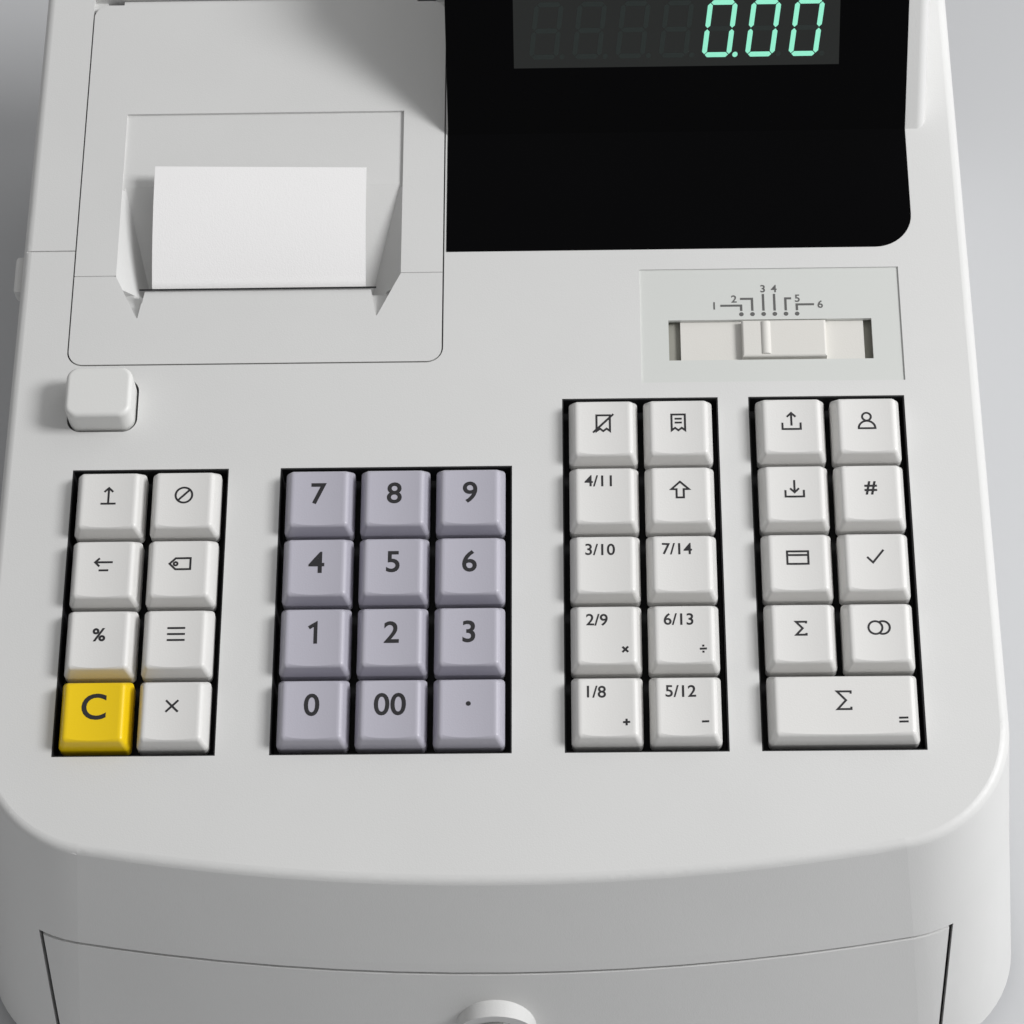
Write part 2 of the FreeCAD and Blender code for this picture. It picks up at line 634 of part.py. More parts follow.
guide_half = "(stem_side / 2 + guide_clearance)"
guides = group("guides", [
    block(
        f"guide_{index}", f"{x} - {guide_half}", f"{x} + {guide_half}", f"{y} - {guide_half}",
        f"{y} + {guide_half}", f"{PLATE_TOP} - plate_thickness - lap", f"{PLATE_TOP} + lap",
    )
    for index, (x, y) in enumerate(guide_places, start=1)
])
plate_slab = key_field("plate_slab", f"{PLATE_TOP} - plate_thickness", PLATE_TOP)
keep(tilt(minus("guide_plate", plate_slab, guides)), "key_plate")

board_parts = [key_field("board_slab", f"{BOARD_TOP} - board_thickness", BOARD_TOP)]
board_parts += [
    rod(f"dome_{index}", "z", "dome_radius", "dome_height", x, y, BOARD_TOP)
    for index, (x, y) in enumerate(guide_places, start=1)
]
board_parts += [
    rod(
        f"board_spacer_{index}", "z", "post_radius",
        f"{PLATE_TOP} - plate_thickness - ({BOARD_TOP})", x, y, BOARD_TOP,
    )
    for index, (x, y) in enumerate(POSTS, start=1)
]
keep(tilt(union("board", *board_parts)), "main_board")


# Printer cover

def chute(name, wall, top):
    """The tapered space above the chute's floor, or the same made larger by a wall."""
    item = doc.addObject("Part::Wedge", name)
    item.Placement = Placement(Vector(), Rotation(Vector(1, 0, 0), 90))
    for prop, text in (
        ("Xmin", f"chute_middle - chute_floor_half - {wall}"),
        ("Xmax", f"chute_middle + chute_floor_half + {wall}"),
        ("Zmin", f"-slot_line - slot_width - {wall}"), ("Zmax", f"-slot_line + {wall}"),
        ("X2min", f"chute_middle - chute_rear_half - {wall}"),
        ("X2max", f"chute_middle + chute_rear_half + {wall}"),
        ("Z2min", f"-chute_end - {wall}"), ("Z2max", f"-slot_line + {wall}"),
        ("Ymin", f"-chute_depth - {wall}"), ("Ymax", top),
    ):
        bind(item, prop, text)
    return item


TIP_LINE = "(slot_line - notch_length)"


def rim_half(line):
    """Half of the chute's width between the tips of its bevel and the crease."""
    return (
        f"(notch_tip_half + (chute_rear_half - notch_tip_half) * ({line} - {TIP_LINE})"
        f" / (crease_line - {TIP_LINE}))"
    )


SLOT_HALF = rim_half("slot_line")


def chute_plan():
    """The chute's outline from above: square at the rear, drawn in ahead of the crease."""
    front = wedge(
        "chute_plan_front",
        ("chute_middle - notch_tip_half", "chute_middle + notch_tip_half", "-2 * chute_depth", "lap"),
        ("chute_middle - chute_rear_half", "chute_middle + chute_rear_half", "-2 * chute_depth", "lap"),
        TIP_LINE, "crease_line",
    )
    rear = block(
        "chute_plan_rear", "chute_middle - chute_rear_half", "chute_middle + chute_rear_half",
        "crease_line", "chute_end + lap", "-2 * chute_depth", "lap",
    )
    return union("chute_plan", front, rear)


def notch(name, side):
    """The pointed end of the chute's bevel, ahead of the slot on one side."""
    end = "slot_line + lap"
    inner, outer = sorted((f"{side} * chute_floor_half", f"{side} * {rim_half(end)}"), key=number)
    tip = f"chute_middle + {side} * notch_tip_half"
    return wedge(
        name, (f"{tip} - notch_tip_size", f"{tip} + notch_tip_size", "-notch_tip_size", "lap"),
        (f"chute_middle + {inner}", f"chute_middle + {outer}", "-notch_depth", "lap"), TIP_LINE, end,
    )


cover_plate = rounded_plate(
    "cover_plate", "cover_left", "cover_right", "cover_front", "cover_rear", "-cover_thickness",
    "0", "cover_corner_radius",
)
barrel = rod(
    "cover_barrel", "x", "hinge_radius", "cover_right - cover_left - 4 * cover_corner_radius",
    "cover_left + 2 * cover_corner_radius", *HINGE,
)
hinge_pin = rod(
    "cover_pin", "x", "pin_radius", "cover_right - cover_left + 2 * pin_reach",
    "cover_left - pin_reach", *HINGE,
)
cover_blank = union(
    "cover_blank", cover_plate, barrel, hinge_pin,
    chute("chute_tub", "chute_wall", "-cover_thickness / 2"),
    block(
        "lip_tub", f"chute_middle - {SLOT_HALF}", f"chute_middle + {SLOT_HALF}",
        f"{TIP_LINE} - chute_wall", "slot_line", "-notch_depth - chute_wall",
        "-cover_thickness / 2",
    ),
)
cover_cuts = [
    overlap("chute_room", chute("chute_space", "0", "0"), chute_plan()),
    window(
        "run_out", "chute_middle - chute_rear_half", "chute_middle + chute_rear_half",
        "run_out_start", "run_out_end", "chute_end_depth",
    ),
    window(
        "paper_slot", "chute_middle - paper_width / 2 - slot_side_gap",
        "chute_middle + paper_width / 2 + slot_side_gap", "slot_line", "slot_line + slot_width",
        "chute_depth + chute_wall + lap", "-chute_depth + lap",
    ),
    window(
        "lip_step", "chute_middle - chute_floor_half - lip_margin",
        "chute_middle + chute_floor_half + lip_margin", "slot_line - lip_length",
        "slot_line + lap", "lip_depth",
    ),
    notch("left_notch", "-1"),
    notch("right_notch", "1"),
    window(
        "left_crease", "cover_left - lap", "chute_middle - chute_rear_half", "crease_line",
        "crease_line + crease_depth", "crease_depth",
    ),
    window(
        "right_crease", "chute_middle + chute_rear_half", "cover_right + lap", "crease_line",
        "crease_line + crease_depth", "crease_depth",
    ),
]
keep(tilt(minus("cover_door", cover_blank, *cover_cuts)), "printer_cover")


# Receipt paper

PAPER_LEFT, PAPER_RIGHT = "chute_middle - paper_width / 2", "chute_middle + paper_width / 2"
BEND_LINE = "slot_line + paper_slot_gap + paper_bend_radius"
BEND_Z = "-paper_bend_radius - paper_sink"
bend_outer = rod("bend_outer", "x", "paper_bend_radius", "paper_width", PAPER_LEFT, BEND_LINE, BEND_Z)
bend_outer.Placement.Rotation = Rotation(Vector(1, 0, 0), 180) * TURNS["x"]
bend_outer.Angle = 90
bend_inner = rod(
    "bend_inner", "x", "paper_bend_radius - paper_thickness", "paper_width + 2 * lap",
    PAPER_LEFT + " - lap", BEND_LINE, BEND_Z,
)
riser = block(
    "paper_riser", PAPER_LEFT, PAPER_RIGHT, "slot_line + paper_slot_gap",
    "slot_line + paper_slot_gap + paper_thickness", f"{BEND_Z} - paper_tail", BEND_Z,
)
strip = block(
    "paper_strip", PAPER_LEFT, PAPER_RIGHT, "0", "paper_reach",
    "paper_bend_radius - paper_thickness", "paper_bend_radius",
)
strip_holder = swing(group("paper_top", [strip]), "paper_tilt", BEND_LINE, BEND_Z)
paper = union("paper", minus("paper_bend", bend_outer, bend_inner), riser, strip_holder)
keep(tilt(paper), "receipt_paper")


# Paper roll, platen and printer frame

ROLL = ("roll_line", "-roll_depth")
PLATEN = ("platen_line", "-platen_depth")
roll_blank = rod("roll_blank", "x", "roll_radius", "paper_width", PAPER_LEFT, *ROLL)
roll_core = rod(
    "roll_core", "x", "roll_core_radius", "paper_width + 2 * lap", PAPER_LEFT + " - lap", *ROLL,
)
keep(tilt(minus("roll", roll_blank, roll_core)), "paper_roll")

CHEEK_LEFT = "chute_middle - paper_width / 2 - platen_side_gap"
CHEEK_RIGHT = "chute_middle + paper_width / 2 + platen_side_gap"
platen_body = rod(
    "platen_body", "x", "platen_radius", f"{CHEEK_RIGHT} - ({CHEEK_LEFT}) - 2 * platen_side_gap",
    f"{CHEEK_LEFT} + platen_side_gap", *PLATEN,
)
WHEEL_LEFT = f"{CHEEK_LEFT} - cheek_thickness - platen_side_gap - wheel_thickness"
platen_axle = rod(
    "platen_axle", "x", "axle_radius", f"{CHEEK_RIGHT} + cheek_thickness + axle_reach - ({WHEEL_LEFT})",
    WHEEL_LEFT, *PLATEN,
)
platen_wheel = rod("platen_wheel", "x", "wheel_radius", "wheel_thickness", WHEEL_LEFT, *PLATEN)
keep(tilt(union("platen", platen_body, platen_axle, platen_wheel)), "platen_roller")

frame_parts = []
for side, inner, outer in (
    ("left", f"{CHEEK_LEFT} - cheek_thickness", CHEEK_LEFT),
    ("right", CHEEK_RIGHT, f"{CHEEK_RIGHT} + cheek_thickness"),
):
    frame_parts.append(block(
        f"{side}_front_cheek", inner, outer, "cheek_front", "cheek_rear",
        "-cheek_top - platen_depth - head_height / 2", "-cheek_top",
    ))
    frame_parts.append(block(
        f"{side}_rear_cheek", inner, outer, "roll_line - roll_radius - cheek_margin", "cheek_rear",
        "-cheek_bottom", "-cheek_top",
    ))
frame_parts.append(block(
    "frame_floor", CHEEK_LEFT, CHEEK_RIGHT, "roll_line - roll_radius - cheek_margin", "cheek_rear",
    "-cheek_bottom", "-cheek_bottom + trough_wall",
))
HEAD_FRONT = "platen_line + platen_radius + head_gap"
frame_parts.append(block(
    "print_head", CHEEK_LEFT, CHEEK_RIGHT, HEAD_FRONT, f"{HEAD_FRONT} + head_length",
    "-platen_depth - head_height / 2", "-platen_depth + head_height / 2",
))
trough_outer = rod(
    "trough_outer", "x", "roll_radius + roll_clearance + trough_wall",
    f"{CHEEK_RIGHT} - ({CHEEK_LEFT})", CHEEK_LEFT, *ROLL,
)
trough_upper = block(
    "trough_upper", "cover_left", "cover_right", "cover_front", "deck_rear",
    "-roll_depth", "-roll_depth + 2 * roll_radius",
)
frame_parts.append(minus("trough_lower", trough_outer, trough_upper))
roll_space = rod(
    "roll_space", "x", "roll_radius + roll_clearance", f"{CHEEK_RIGHT} - ({CHEEK_LEFT})",
    CHEEK_LEFT, *ROLL,
)
axle_bore = rod(
    "axle_bore", "x", "axle_radius + axle_clearance", "cover_right - cover_left", "cover_left",
    *PLATEN,
)
printer_block = tilt(minus("printer_block", union("frame_blank", *frame_parts), roll_space, axle_bore))


def leg(name, line):
    """A foot of the printer frame, down to the plate over the drawer."""
    middle = f"deck_y + ({line}) * cos(deck_slope) + cheek_bottom * sin(deck_slope)"
    top = f"deck_z + ({line}) * sin(deck_slope) - (cheek_bottom - lap) * cos(deck_slope)"
    return block(
        name, CHEEK_LEFT, CHEEK_RIGHT, f"{middle} - leg_half", f"{middle} + leg_half",
        "seam_height", top,
    )


printer_stand = union(
    "printer_stand", printer_block, leg("front_leg", "roll_line - roll_radius + front_leg_inset"),
    leg("rear_leg", "cheek_rear - rear_leg_inset"),
)
keep(printer_stand, "printer_frame")


# Release button and mode switch

BUTTON = (
    "button_x - button_width / 2", "button_x + button_width / 2",
    "button_line - button_length / 2", "button_line + button_length / 2",
)
button_blank = rounded_plate("button_blank", *BUTTON, "-button_skirt", "button_rise", "button_radius")
BUTTON_TOP = number("button_rise")
button = rounded("button", button_blank, "button_edge_radius", at_height(BUTTON_TOP))
keep(tilt(group("release_button", [button])), "cover_release_button")

mode_blank = block(
    "mode_blank", "mode_left", "mode_right", "mode_front", "mode_rear", "-mode_seat",
    "mode_plate_thickness - mode_seat",
)
mode_window = window(
    "mode_window", "window_left", "window_right", "window_front", "window_rear", "mode_seat + lap",
)
keep(tilt(minus("mode_cover", mode_blank, mode_window)), "mode_plate")

STRIP_TOP = "-mode_seat - slider_clearance"
grip_blank = block(
    "grip_blank", "grip_left", "grip_right", "window_front + grip_inset",
    "window_rear - grip_inset", f"{STRIP_TOP} - slider_thickness / 2", "grip_rise",
)
GRIP_TOP = number("grip_rise")
slider = union(
    "slider",
    block(
        "slider_strip", "slider_left", "slider_right", "window_front - slider_overlap",
        "window_rear + slider_overlap", f"{STRIP_TOP} - slider_thickness", STRIP_TOP,
    ),
    rounded("grip", grip_blank, "grip_inset", at_height(GRIP_TOP)),
    rod(
        "grip_ridge", "y", "ridge_radius", "window_rear - window_front - 4 * grip_inset",
        "grip_left + ridge_offset", "window_front + 2 * grip_inset",
        "grip_rise + ridge_rise - ridge_radius",
    ),
)
keep(tilt(slider), "mode_slider")


# Black panel and the customer's window

panel = black_panel("panel", "-glass_gap", "-panel_seat", "panel_thickness - panel_seat")
keep(tilt(panel), "display_panel")
rear_glass = block(
    "rear_glass", "rear_window_left + glass_gap", "rear_window_right - glass_gap",
    f"-{REAR_FACE} + rear_window_margin + glass_gap", "-rear_window_margin - glass_gap",
    "-rear_window_thickness", "glass_rise",
)
rear_glass_holder = swing(group("rear_glass_place", [rear_glass]), f"-{REAR_ANGLE}", "hood_rear", "0")
keep(tilt(group("rear_glass_part", [rear_glass_holder])), "customer_window")


# Base cabinet

CABINET_FLOOR = "foot_height + floor_thickness"
CABINET_CEILING = "seam_height - floor_thickness"
WIDE, LONG = "foot_half + lap", "foot_rear + lap"
cabinet_space = overlap(
    "cabinet_space", cabinet_inner,
    block(
        "cabinet_slab", f"-{WIDE}", WIDE, f"-({LONG})", LONG, CABINET_FLOOR, CABINET_CEILING,
    ),
)
front_opening = block(
    "front_opening", "-drawer_front_half - drawer_gap", "drawer_front_half + drawer_gap",
    "foot_front - lap", "foot_front + drawer_front_depth", CABINET_FLOOR, CABINET_CEILING,
)
INLET_TOP = "inlet_height + inlet_tall / 2"
inlet_hole = block(
    "inlet_hole", "inlet_x - inlet_width / 2", "inlet_x + inlet_width / 2",
    "foot_rear - inlet_depth", "foot_rear + lap", "inlet_height - inlet_tall / 2", INLET_TOP,
)
DRAWER_FLOOR = f"{CABINET_FLOOR} + rail_height + rail_clearance"
INSIDE_FLOOR = f"{DRAWER_FLOOR} + drawer_wall"
DRAWER_TOP = f"{DRAWER_FLOOR} + drawer_height"
BOX_FRONT = "foot_front + drawer_front_depth - drawer_wall"
BOX_REAR = f"{BOX_FRONT} + 3 * drawer_wall + coin_bay_depth + note_bay_depth"
rails = [
    block(
        f"rail_{index}", f"{side} * rail_x - rail_width / 2", f"{side} * rail_x + rail_width / 2",
        "foot_front + drawer_front_depth", f"{BOX_REAR} + rail_overrun", f"{CABINET_FLOOR} - lap",
        f"{CABINET_FLOOR} + rail_height",
    )
    for index, side in enumerate((-1, 1), start=1)
]
STOP_REAR = f"{BOX_REAR} - drawer_wall - drawer_travel - stop_gap"
ceiling_stop = block(
    "ceiling_stop", "-stop_half", "stop_half", f"{STOP_REAR} - stop_thickness", STOP_REAR,
    f"{DRAWER_TOP} + stop_gap", f"{CABINET_CEILING} + lap",
)
cabinet_shell = minus("cabinet_shell", cabinet_outer, cabinet_space, front_opening, inlet_hole)
keep(union("cabinet", cabinet_shell, ceiling_stop, *rails), "base_cabinet")


# Cash drawer

FRONT_LOW, FRONT_HIGH = f"{CABINET_FLOOR} + drawer_gap", f"{CABINET_CEILING} - drawer_gap"
front_skin = overlap(
    "front_skin", cabinet_outer,
    block(
        "front_region", "-drawer_front_half", "drawer_front_half", "foot_front - lap",
        BOX_FRONT + " + drawer_wall", FRONT_LOW, FRONT_HIGH,
    ),
)
front_hollow = overlap(
    "front_hollow", cabinet_inner,
    block(
        "front_hollow_region", "-drawer_front_half + drawer_wall",
        "drawer_front_half - drawer_wall", "foot_front - lap", BOX_FRONT,
        FRONT_LOW + " + drawer_wall", FRONT_HIGH + " - drawer_wall",
    ),
)
drawer_box = block(
    "drawer_box", "-drawer_half", "drawer_half", BOX_FRONT, BOX_REAR, DRAWER_FLOOR, DRAWER_TOP,
)
COIN_FRONT = f"{BOX_FRONT} + drawer_wall"
COIN_REAR = f"{COIN_FRONT} + coin_bay_depth"
NOTE_FRONT, NOTE_REAR = f"{COIN_REAR} + drawer_wall", f"{BOX_REAR} - drawer_wall"
coin_bay = block(
    "coin_bay", "-drawer_half + drawer_wall", "drawer_half - drawer_wall", COIN_FRONT, COIN_REAR,
    INSIDE_FLOOR, f"{DRAWER_TOP} + lap",
)
left_note_bay = block(
    "left_note_bay", "-drawer_half + drawer_wall", "-drawer_wall / 2", NOTE_FRONT, NOTE_REAR,
    INSIDE_FLOOR, f"{DRAWER_TOP} + lap",
)
right_note_bay = block(
    "right_note_bay", "drawer_wall / 2", "drawer_half - drawer_wall", NOTE_FRONT, NOTE_REAR,
    INSIDE_FLOOR, f"{DRAWER_TOP} + lap",
)
PIVOT_Y = f"{NOTE_REAR} - clip_pivot_setback"
PIVOT_Z = f"{INSIDE_FLOOR} + clip_pivot_height"
EAR_INSIDE = "clip_width / 2 + clip_side_gap"
ears = []
bores = []
for side_name, side in (("left", -1), ("right", 1)):
    middle = f"{side} * clip_x"
    for edge_name, low, high in (
        ("a", f"-({EAR_INSIDE}) - ear_thickness", f"-({EAR_INSIDE})"),
        ("b", EAR_INSIDE, f"{EAR_INSIDE} + ear_thickness"),
    ):
        ears.append(block(
            f"{side_name}_ear_{edge_name}", f"{middle} + {low}", f"{middle} + {high}",
            f"{PIVOT_Y} - clip_hub_radius - ear_margin", f"{NOTE_REAR} + drawer_wall / 2",
            f"{INSIDE_FLOOR} - drawer_wall / 2", f"{PIVOT_Z} + clip_hub_radius + ear_margin",
        ))
    bores.append(rod(
        f"{side_name}_clip_bore", "x", "clip_pin_radius + pin_clearance",
        f"2 * ({EAR_INSIDE} + ear_thickness + lap)",
        f"{middle} - ({EAR_INSIDE}) - ear_thickness - lap", PIVOT_Y, PIVOT_Z,
    ))
LOCK_FRONT = "foot_front + lock_setback"
lock_boss = rod(
    "lock_boss", "y", "lock_radius + lock_clearance + lock_boss_wall", "lock_boss_length",
    "lock_x", LOCK_FRONT, "lock_height",
)
lock_bore = rod(
    "lock_bore", "y", "lock_radius + lock_clearance", "lock_length + 2 * lap", "lock_x",
    f"{LOCK_FRONT} - lap", "lock_height",
)
stop_lug = block(
    "stop_lug", "-stop_half", "stop_half", f"{BOX_REAR} - drawer_wall", BOX_REAR,
    f"{DRAWER_TOP} - lap", f"{DRAWER_TOP} + stop_gap + stop_rise",
)
drawer_front = minus("drawer_front", front_skin, front_hollow)
drawer_shell = minus(
    "drawer_shell", union("drawer_blank", drawer_front, drawer_box, lock_boss, stop_lug),
    coin_bay, left_note_bay, right_note_bay, lock_bore,
)
drawer_with_ears = union("drawer_with_ears", drawer_shell, *ears)
keep(minus("drawer", drawer_with_ears, group("clip_bores", bores)), "cash_drawer")


# Coin tray

TRAY_LEFT = "(-drawer_half + drawer_wall + tray_clearance)"
TRAY_FRONT = f"({COIN_FRONT} + tray_clearance)"
TRAY_TOP = f"({INSIDE_FLOOR} + tray_height)"
CUP_PITCH_X = f"((-2 * {TRAY_LEFT} - tray_wall) / cup_columns)"
CUP_PITCH_Y = "((coin_bay_depth - 2 * tray_clearance - tray_wall) / cup_rows)"
tray_blank = block(
    "tray_blank", TRAY_LEFT, f"-{TRAY_LEFT}", TRAY_FRONT, f"{COIN_REAR} - tray_clearance",
    INSIDE_FLOOR, TRAY_TOP,
)


def coin_cup(column, line):
    """One scooped cup, with a round floor for picking coins out."""
    x = f"{TRAY_LEFT} + tray_wall + {column} * {CUP_PITCH_X}"
    y = f"{TRAY_FRONT} + tray_wall + {line} * {CUP_PITCH_Y}"
    name = f"cup_{column + 1}_{line + 1}"
    blank = block(
        name + "_blank", x, f"{x} + {CUP_PITCH_X} - tray_wall", y,
        f"{y} + {CUP_PITCH_Y} - tray_wall", f"{INSIDE_FLOOR} + tray_wall", f"{TRAY_TOP} + lap",
    )
    rim = number(TRAY_TOP)
    return rounded(name, blank, "cup_floor_radius", lambda edge: edge.BoundBox.ZMin < rim)


cups = [
    coin_cup(column, line)
    for column in range(round(number("cup_columns"))) for line in range(round(number("cup_rows")))
]
keep(minus("tray", tray_blank, group("cups", cups)), "coin_tray")


# Bill clips

for side_name, side in (("left", -1), ("right", 1)):
    middle = f"{side} * clip_x"
    clip_left, clip_right = f"{middle} - clip_width / 2", f"{middle} + clip_width / 2"
    tip = f"{PIVOT_Y} - clip_reach"
    toe_radius = "((clip_pivot_height - clip_hub_radius) / 2 + toe_lap)"
    clip = union(
        f"{side_name}_clip",
        rod(f"{side_name}_hub", "x", "clip_hub_radius", "clip_width", clip_left, PIVOT_Y, PIVOT_Z),
        rod(
            f"{side_name}_clip_pin", "x", "clip_pin_radius",
            f"2 * ({EAR_INSIDE} + ear_thickness)", f"{middle} - ({EAR_INSIDE}) - ear_thickness",
            PIVOT_Y, PIVOT_Z,
        ),
        block(
            f"{side_name}_arm", clip_left, clip_right, tip, PIVOT_Y,
            f"{PIVOT_Z} - clip_hub_radius", f"{PIVOT_Z} - clip_hub_radius + clip_arm_thickness",
        ),
        rod(
            f"{side_name}_toe", "x", toe_radius, "clip_width", clip_left, tip,
            f"{INSIDE_FLOOR} + clip_rest_gap + {toe_radius}",
        ),
    )
    keep(clip, f"bill_clip_{side_name}")


# Drawer lock, power inlet and feet

lock_plug = rod(
    "lock_plug", "y", "lock_radius", "lock_length", "lock_x", f"{LOCK_FRONT} - lock_rise",
    "lock_height",
)
keyway = block(
    "keyway", "lock_x - keyway_width / 2", "lock_x + keyway_width / 2", f"{LOCK_FRONT} - lap",
    f"{LOCK_FRONT} - lock_rise + keyway_depth", "lock_height - keyway_length / 2",
    "lock_height + keyway_length / 2",
)
keep(minus("lock", lock_plug, keyway), "drawer_lock")

inlet_body = block(
    "inlet_body", "inlet_x - inlet_width / 2", "inlet_x + inlet_width / 2",
    "foot_rear - inlet_depth", "seam_rear - inlet_rim", "inlet_height - inlet_tall / 2", INLET_TOP,
)
inlet_socket = rod(
    "inlet_socket", "y", "inlet_socket_radius", "inlet_socket_depth + lap", "inlet_x",
    "seam_rear - inlet_rim - inlet_socket_depth", "inlet_height",
)
inlet_pin = rod(
    "inlet_pin", "y", "inlet_socket_radius / 3", "inlet_socket_depth", "inlet_x",
    "seam_rear - inlet_rim - inlet_socket_depth - lap / 2", "inlet_height",
)
inlet_shell = minus("inlet_shell", inlet_body, inlet_socket)
keep(union("inlet", inlet_shell, inlet_pin), "power_inlet")

pads = [
    rod(
        f"pad_{index}", "z", "pad_radius", "foot_height", f"{side} * pad_x", line, "0",
    )
    for index, (side, line) in enumerate(
        ((-1, "pad_front"), (1, "pad_front"), (-1, "pad_rear"), (1, "pad_rear")), start=1,
    )
]
keep(group("pads", pads), "rubber_feet")


# Check and write

doc.recompute()
failed = [item.Name for item in doc.Objects if {"Invalid", "Error"} & set(item.State)]
if failed:
    raise RuntimeError(f"not built: {failed}")
for node, item in NODES:
    if item.Shape.isNull() or not item.Shape.isValid():
        raise RuntimeError(f"{node} has no sound shape")
os.makedirs("parts", exist_ok=True)
for node, item in NODES:
    item.Shape.exportStep(f"parts/{node}.step")
print(f"{len(NODES)} pieces written")
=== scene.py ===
import json
import math

import bmesh
import bpy
from mathutils import Matrix, Vector


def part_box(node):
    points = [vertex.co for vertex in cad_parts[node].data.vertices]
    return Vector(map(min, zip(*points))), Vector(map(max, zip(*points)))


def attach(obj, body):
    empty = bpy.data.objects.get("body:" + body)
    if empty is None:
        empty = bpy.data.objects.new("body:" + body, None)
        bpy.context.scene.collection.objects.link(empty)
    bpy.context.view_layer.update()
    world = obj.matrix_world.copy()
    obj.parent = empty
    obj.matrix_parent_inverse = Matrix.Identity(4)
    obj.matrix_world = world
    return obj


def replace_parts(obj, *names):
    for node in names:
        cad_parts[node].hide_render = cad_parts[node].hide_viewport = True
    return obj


# The cash register as photographed from above its keyboard. Metres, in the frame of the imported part.
# Most details are placed in the deck's own frame: X across, Y up the slope from the bottom edge of
# the key openings, and Z square to the deck. DECK turns that frame into the part's frame.

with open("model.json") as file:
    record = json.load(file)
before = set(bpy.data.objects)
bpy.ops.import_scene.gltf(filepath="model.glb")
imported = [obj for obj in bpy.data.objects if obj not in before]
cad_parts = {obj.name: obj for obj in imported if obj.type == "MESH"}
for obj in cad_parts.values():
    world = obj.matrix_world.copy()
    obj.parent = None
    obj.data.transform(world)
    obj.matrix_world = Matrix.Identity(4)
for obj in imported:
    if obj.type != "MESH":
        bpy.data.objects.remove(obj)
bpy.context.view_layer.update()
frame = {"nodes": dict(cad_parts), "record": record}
NODES = frame["nodes"]
MM = 0.001

DECK_SLOPE = math.radians(11.0)
DECK_START = Vector((0.0, -116.0, 86.2)) * MM
DECK = Matrix.Translation(DECK_START) @ Matrix.Rotation(DECK_SLOPE, 4, "X")


def deck_box(node):
    """Lowest and highest corner of a CAD node in the deck's frame."""
    back = DECK.inverted()
    places = [back @ corner.co for corner in NODES[node].data.vertices]
    low = Vector([min(place[axis] for place in places) for axis in range(3)])
    high = Vector([max(place[axis] for place in places) for axis in range(3)])
    return low, high


# Materials

def linear(red, green, blue):
    """A colour given as it looks on a screen, 0 to 255, as the shader's own light values."""
    def channel(value):
        share = value / 255
        return share / 12.92 if share <= 0.04045 else ((share + 0.055) / 1.055) ** 2.4
    return channel(red), channel(green), channel(blue)


CLOUD_DETAIL, GRAIN_DETAIL, GLOSS_DRIFT = 4.0, 2.0, 0.15


def finish(name, colour, rough, mottle=0.03, mottle_size=0.03, grain=0.0004, bump=0.08, **extra):
    """A moulded or coated surface: cloudy colour, uneven gloss and a fine grain in relief.

    mottle is how far the colour drifts, mottle_size and grain are the sizes of the two patterns.
    """
    material = bpy.data.materials.new(name)
    material.use_nodes = True
    tree = material.node_tree
    shader = tree.nodes["Principled BSDF"]
    for socket, value in extra.items():
        shader.inputs[socket.replace("_", " ")].default_value = value
    place = tree.nodes.new("ShaderNodeTexCoord")

    def noise(size, detail):
        pattern = tree.nodes.new("ShaderNodeTexNoise")
        pattern.inputs["Scale"].default_value = 1.0 / size
        pattern.inputs["Detail"].default_value = detail
        tree.links.new(place.outputs["Object"], pattern.inputs["Vector"])
        return pattern

    cloud = noise(mottle_size, CLOUD_DETAIL)
    fine = noise(grain, GRAIN_DETAIL)
    tone = tree.nodes.new("ShaderNodeMix")
    tone.data_type = "RGBA"
    tone.inputs["A"].default_value = (*[c * (1 - mottle) for c in colour], 1)
    tone.inputs["B"].default_value = (*[min(1, c * (1 + mottle)) for c in colour], 1)
    tree.links.new(cloud.outputs["Fac"], tone.inputs["Factor"])
    tree.links.new(tone.outputs["Result"], shader.inputs["Base Color"])
    gloss = tree.nodes.new("ShaderNodeMapRange")
    gloss.inputs["To Min"].default_value = rough * (1 - GLOSS_DRIFT)
    gloss.inputs["To Max"].default_value = min(1.0, rough * (1 + GLOSS_DRIFT))
    tree.links.new(fine.outputs["Fac"], gloss.inputs["Value"])
    tree.links.new(gloss.outputs["Result"], shader.inputs["Roughness"])
    relief = tree.nodes.new("ShaderNodeBump")
    relief.inputs["Strength"].default_value = bump
    relief.inputs["Distance"].default_value = grain
    tree.links.new(fine.outputs["Fac"], relief.inputs["Height"])
    tree.links.new(relief.outputs["Normal"], shader.inputs["Normal"])
    return material


FINISHES = {
    "housing": finish("housing_plastic", linear(214, 214, 213), 0.45),
    "button_white": finish("button_plastic", linear(222, 222, 220), 0.38),
    "drawer_front": finish("drawer_plastic", linear(212, 212, 211), 0.45),
    "tray": finish("tray_plastic", linear(60, 61, 63), 0.5),
    "clip": finish("clip_plastic", linear(150, 152, 156), 0.4),
    "lock_metal": finish("lock_metal", linear(190, 190, 188), 0.28, Metallic=1.0),
    "paper": finish("paper", linear(243, 242, 242), 0.8, mottle=0.02, bump=0.15),
    "platen_rubber": finish("platen_rubber", linear(42, 42, 44), 0.75, bump=0.2),
    "black_plastic": finish("black_plastic", linear(26, 26, 28), 0.55),
    "mode_film": finish("mode_film", linear(209, 211, 208), 0.4, mottle=0.015, bump=0.03),
    # painted shade: the bed's grey-brown stands in for the shade at the ends of the switch window
    "switch_shade_bed": finish("switch_shade_bed", linear(150, 149, 140), 0.7),
    "plate_ink": finish("plate_ink", linear(96, 96, 95), 0.6, mottle=0.1, mottle_size=0.002),
    "slider_white": finish("slider_plastic", linear(218, 216, 211), 0.35),
    "panel_black": finish(
        "panel_gloss", linear(3, 3, 4), 0.14, mottle=0.2, bump=0.01, Specular_IOR_Level=0.08,
    ),
    "circuit_board": finish("circuit_board", linear(24, 82, 54), 0.4),
    "feet_rubber": finish("feet_rubber", linear(38, 38, 40), 0.85, bump=0.3),
    "key_white": finish("key_white_plastic", linear(222, 221, 219), 0.34),
    "key_grey": finish("key_grey_plastic", linear(180, 178, 189), 0.36),
    "key_yellow": finish("key_yellow_plastic", linear(240, 203, 12), 0.34),
}
INK = finish("legend_ink", linear(34, 33, 36), 0.6, mottle=0.1, mottle_size=0.002)
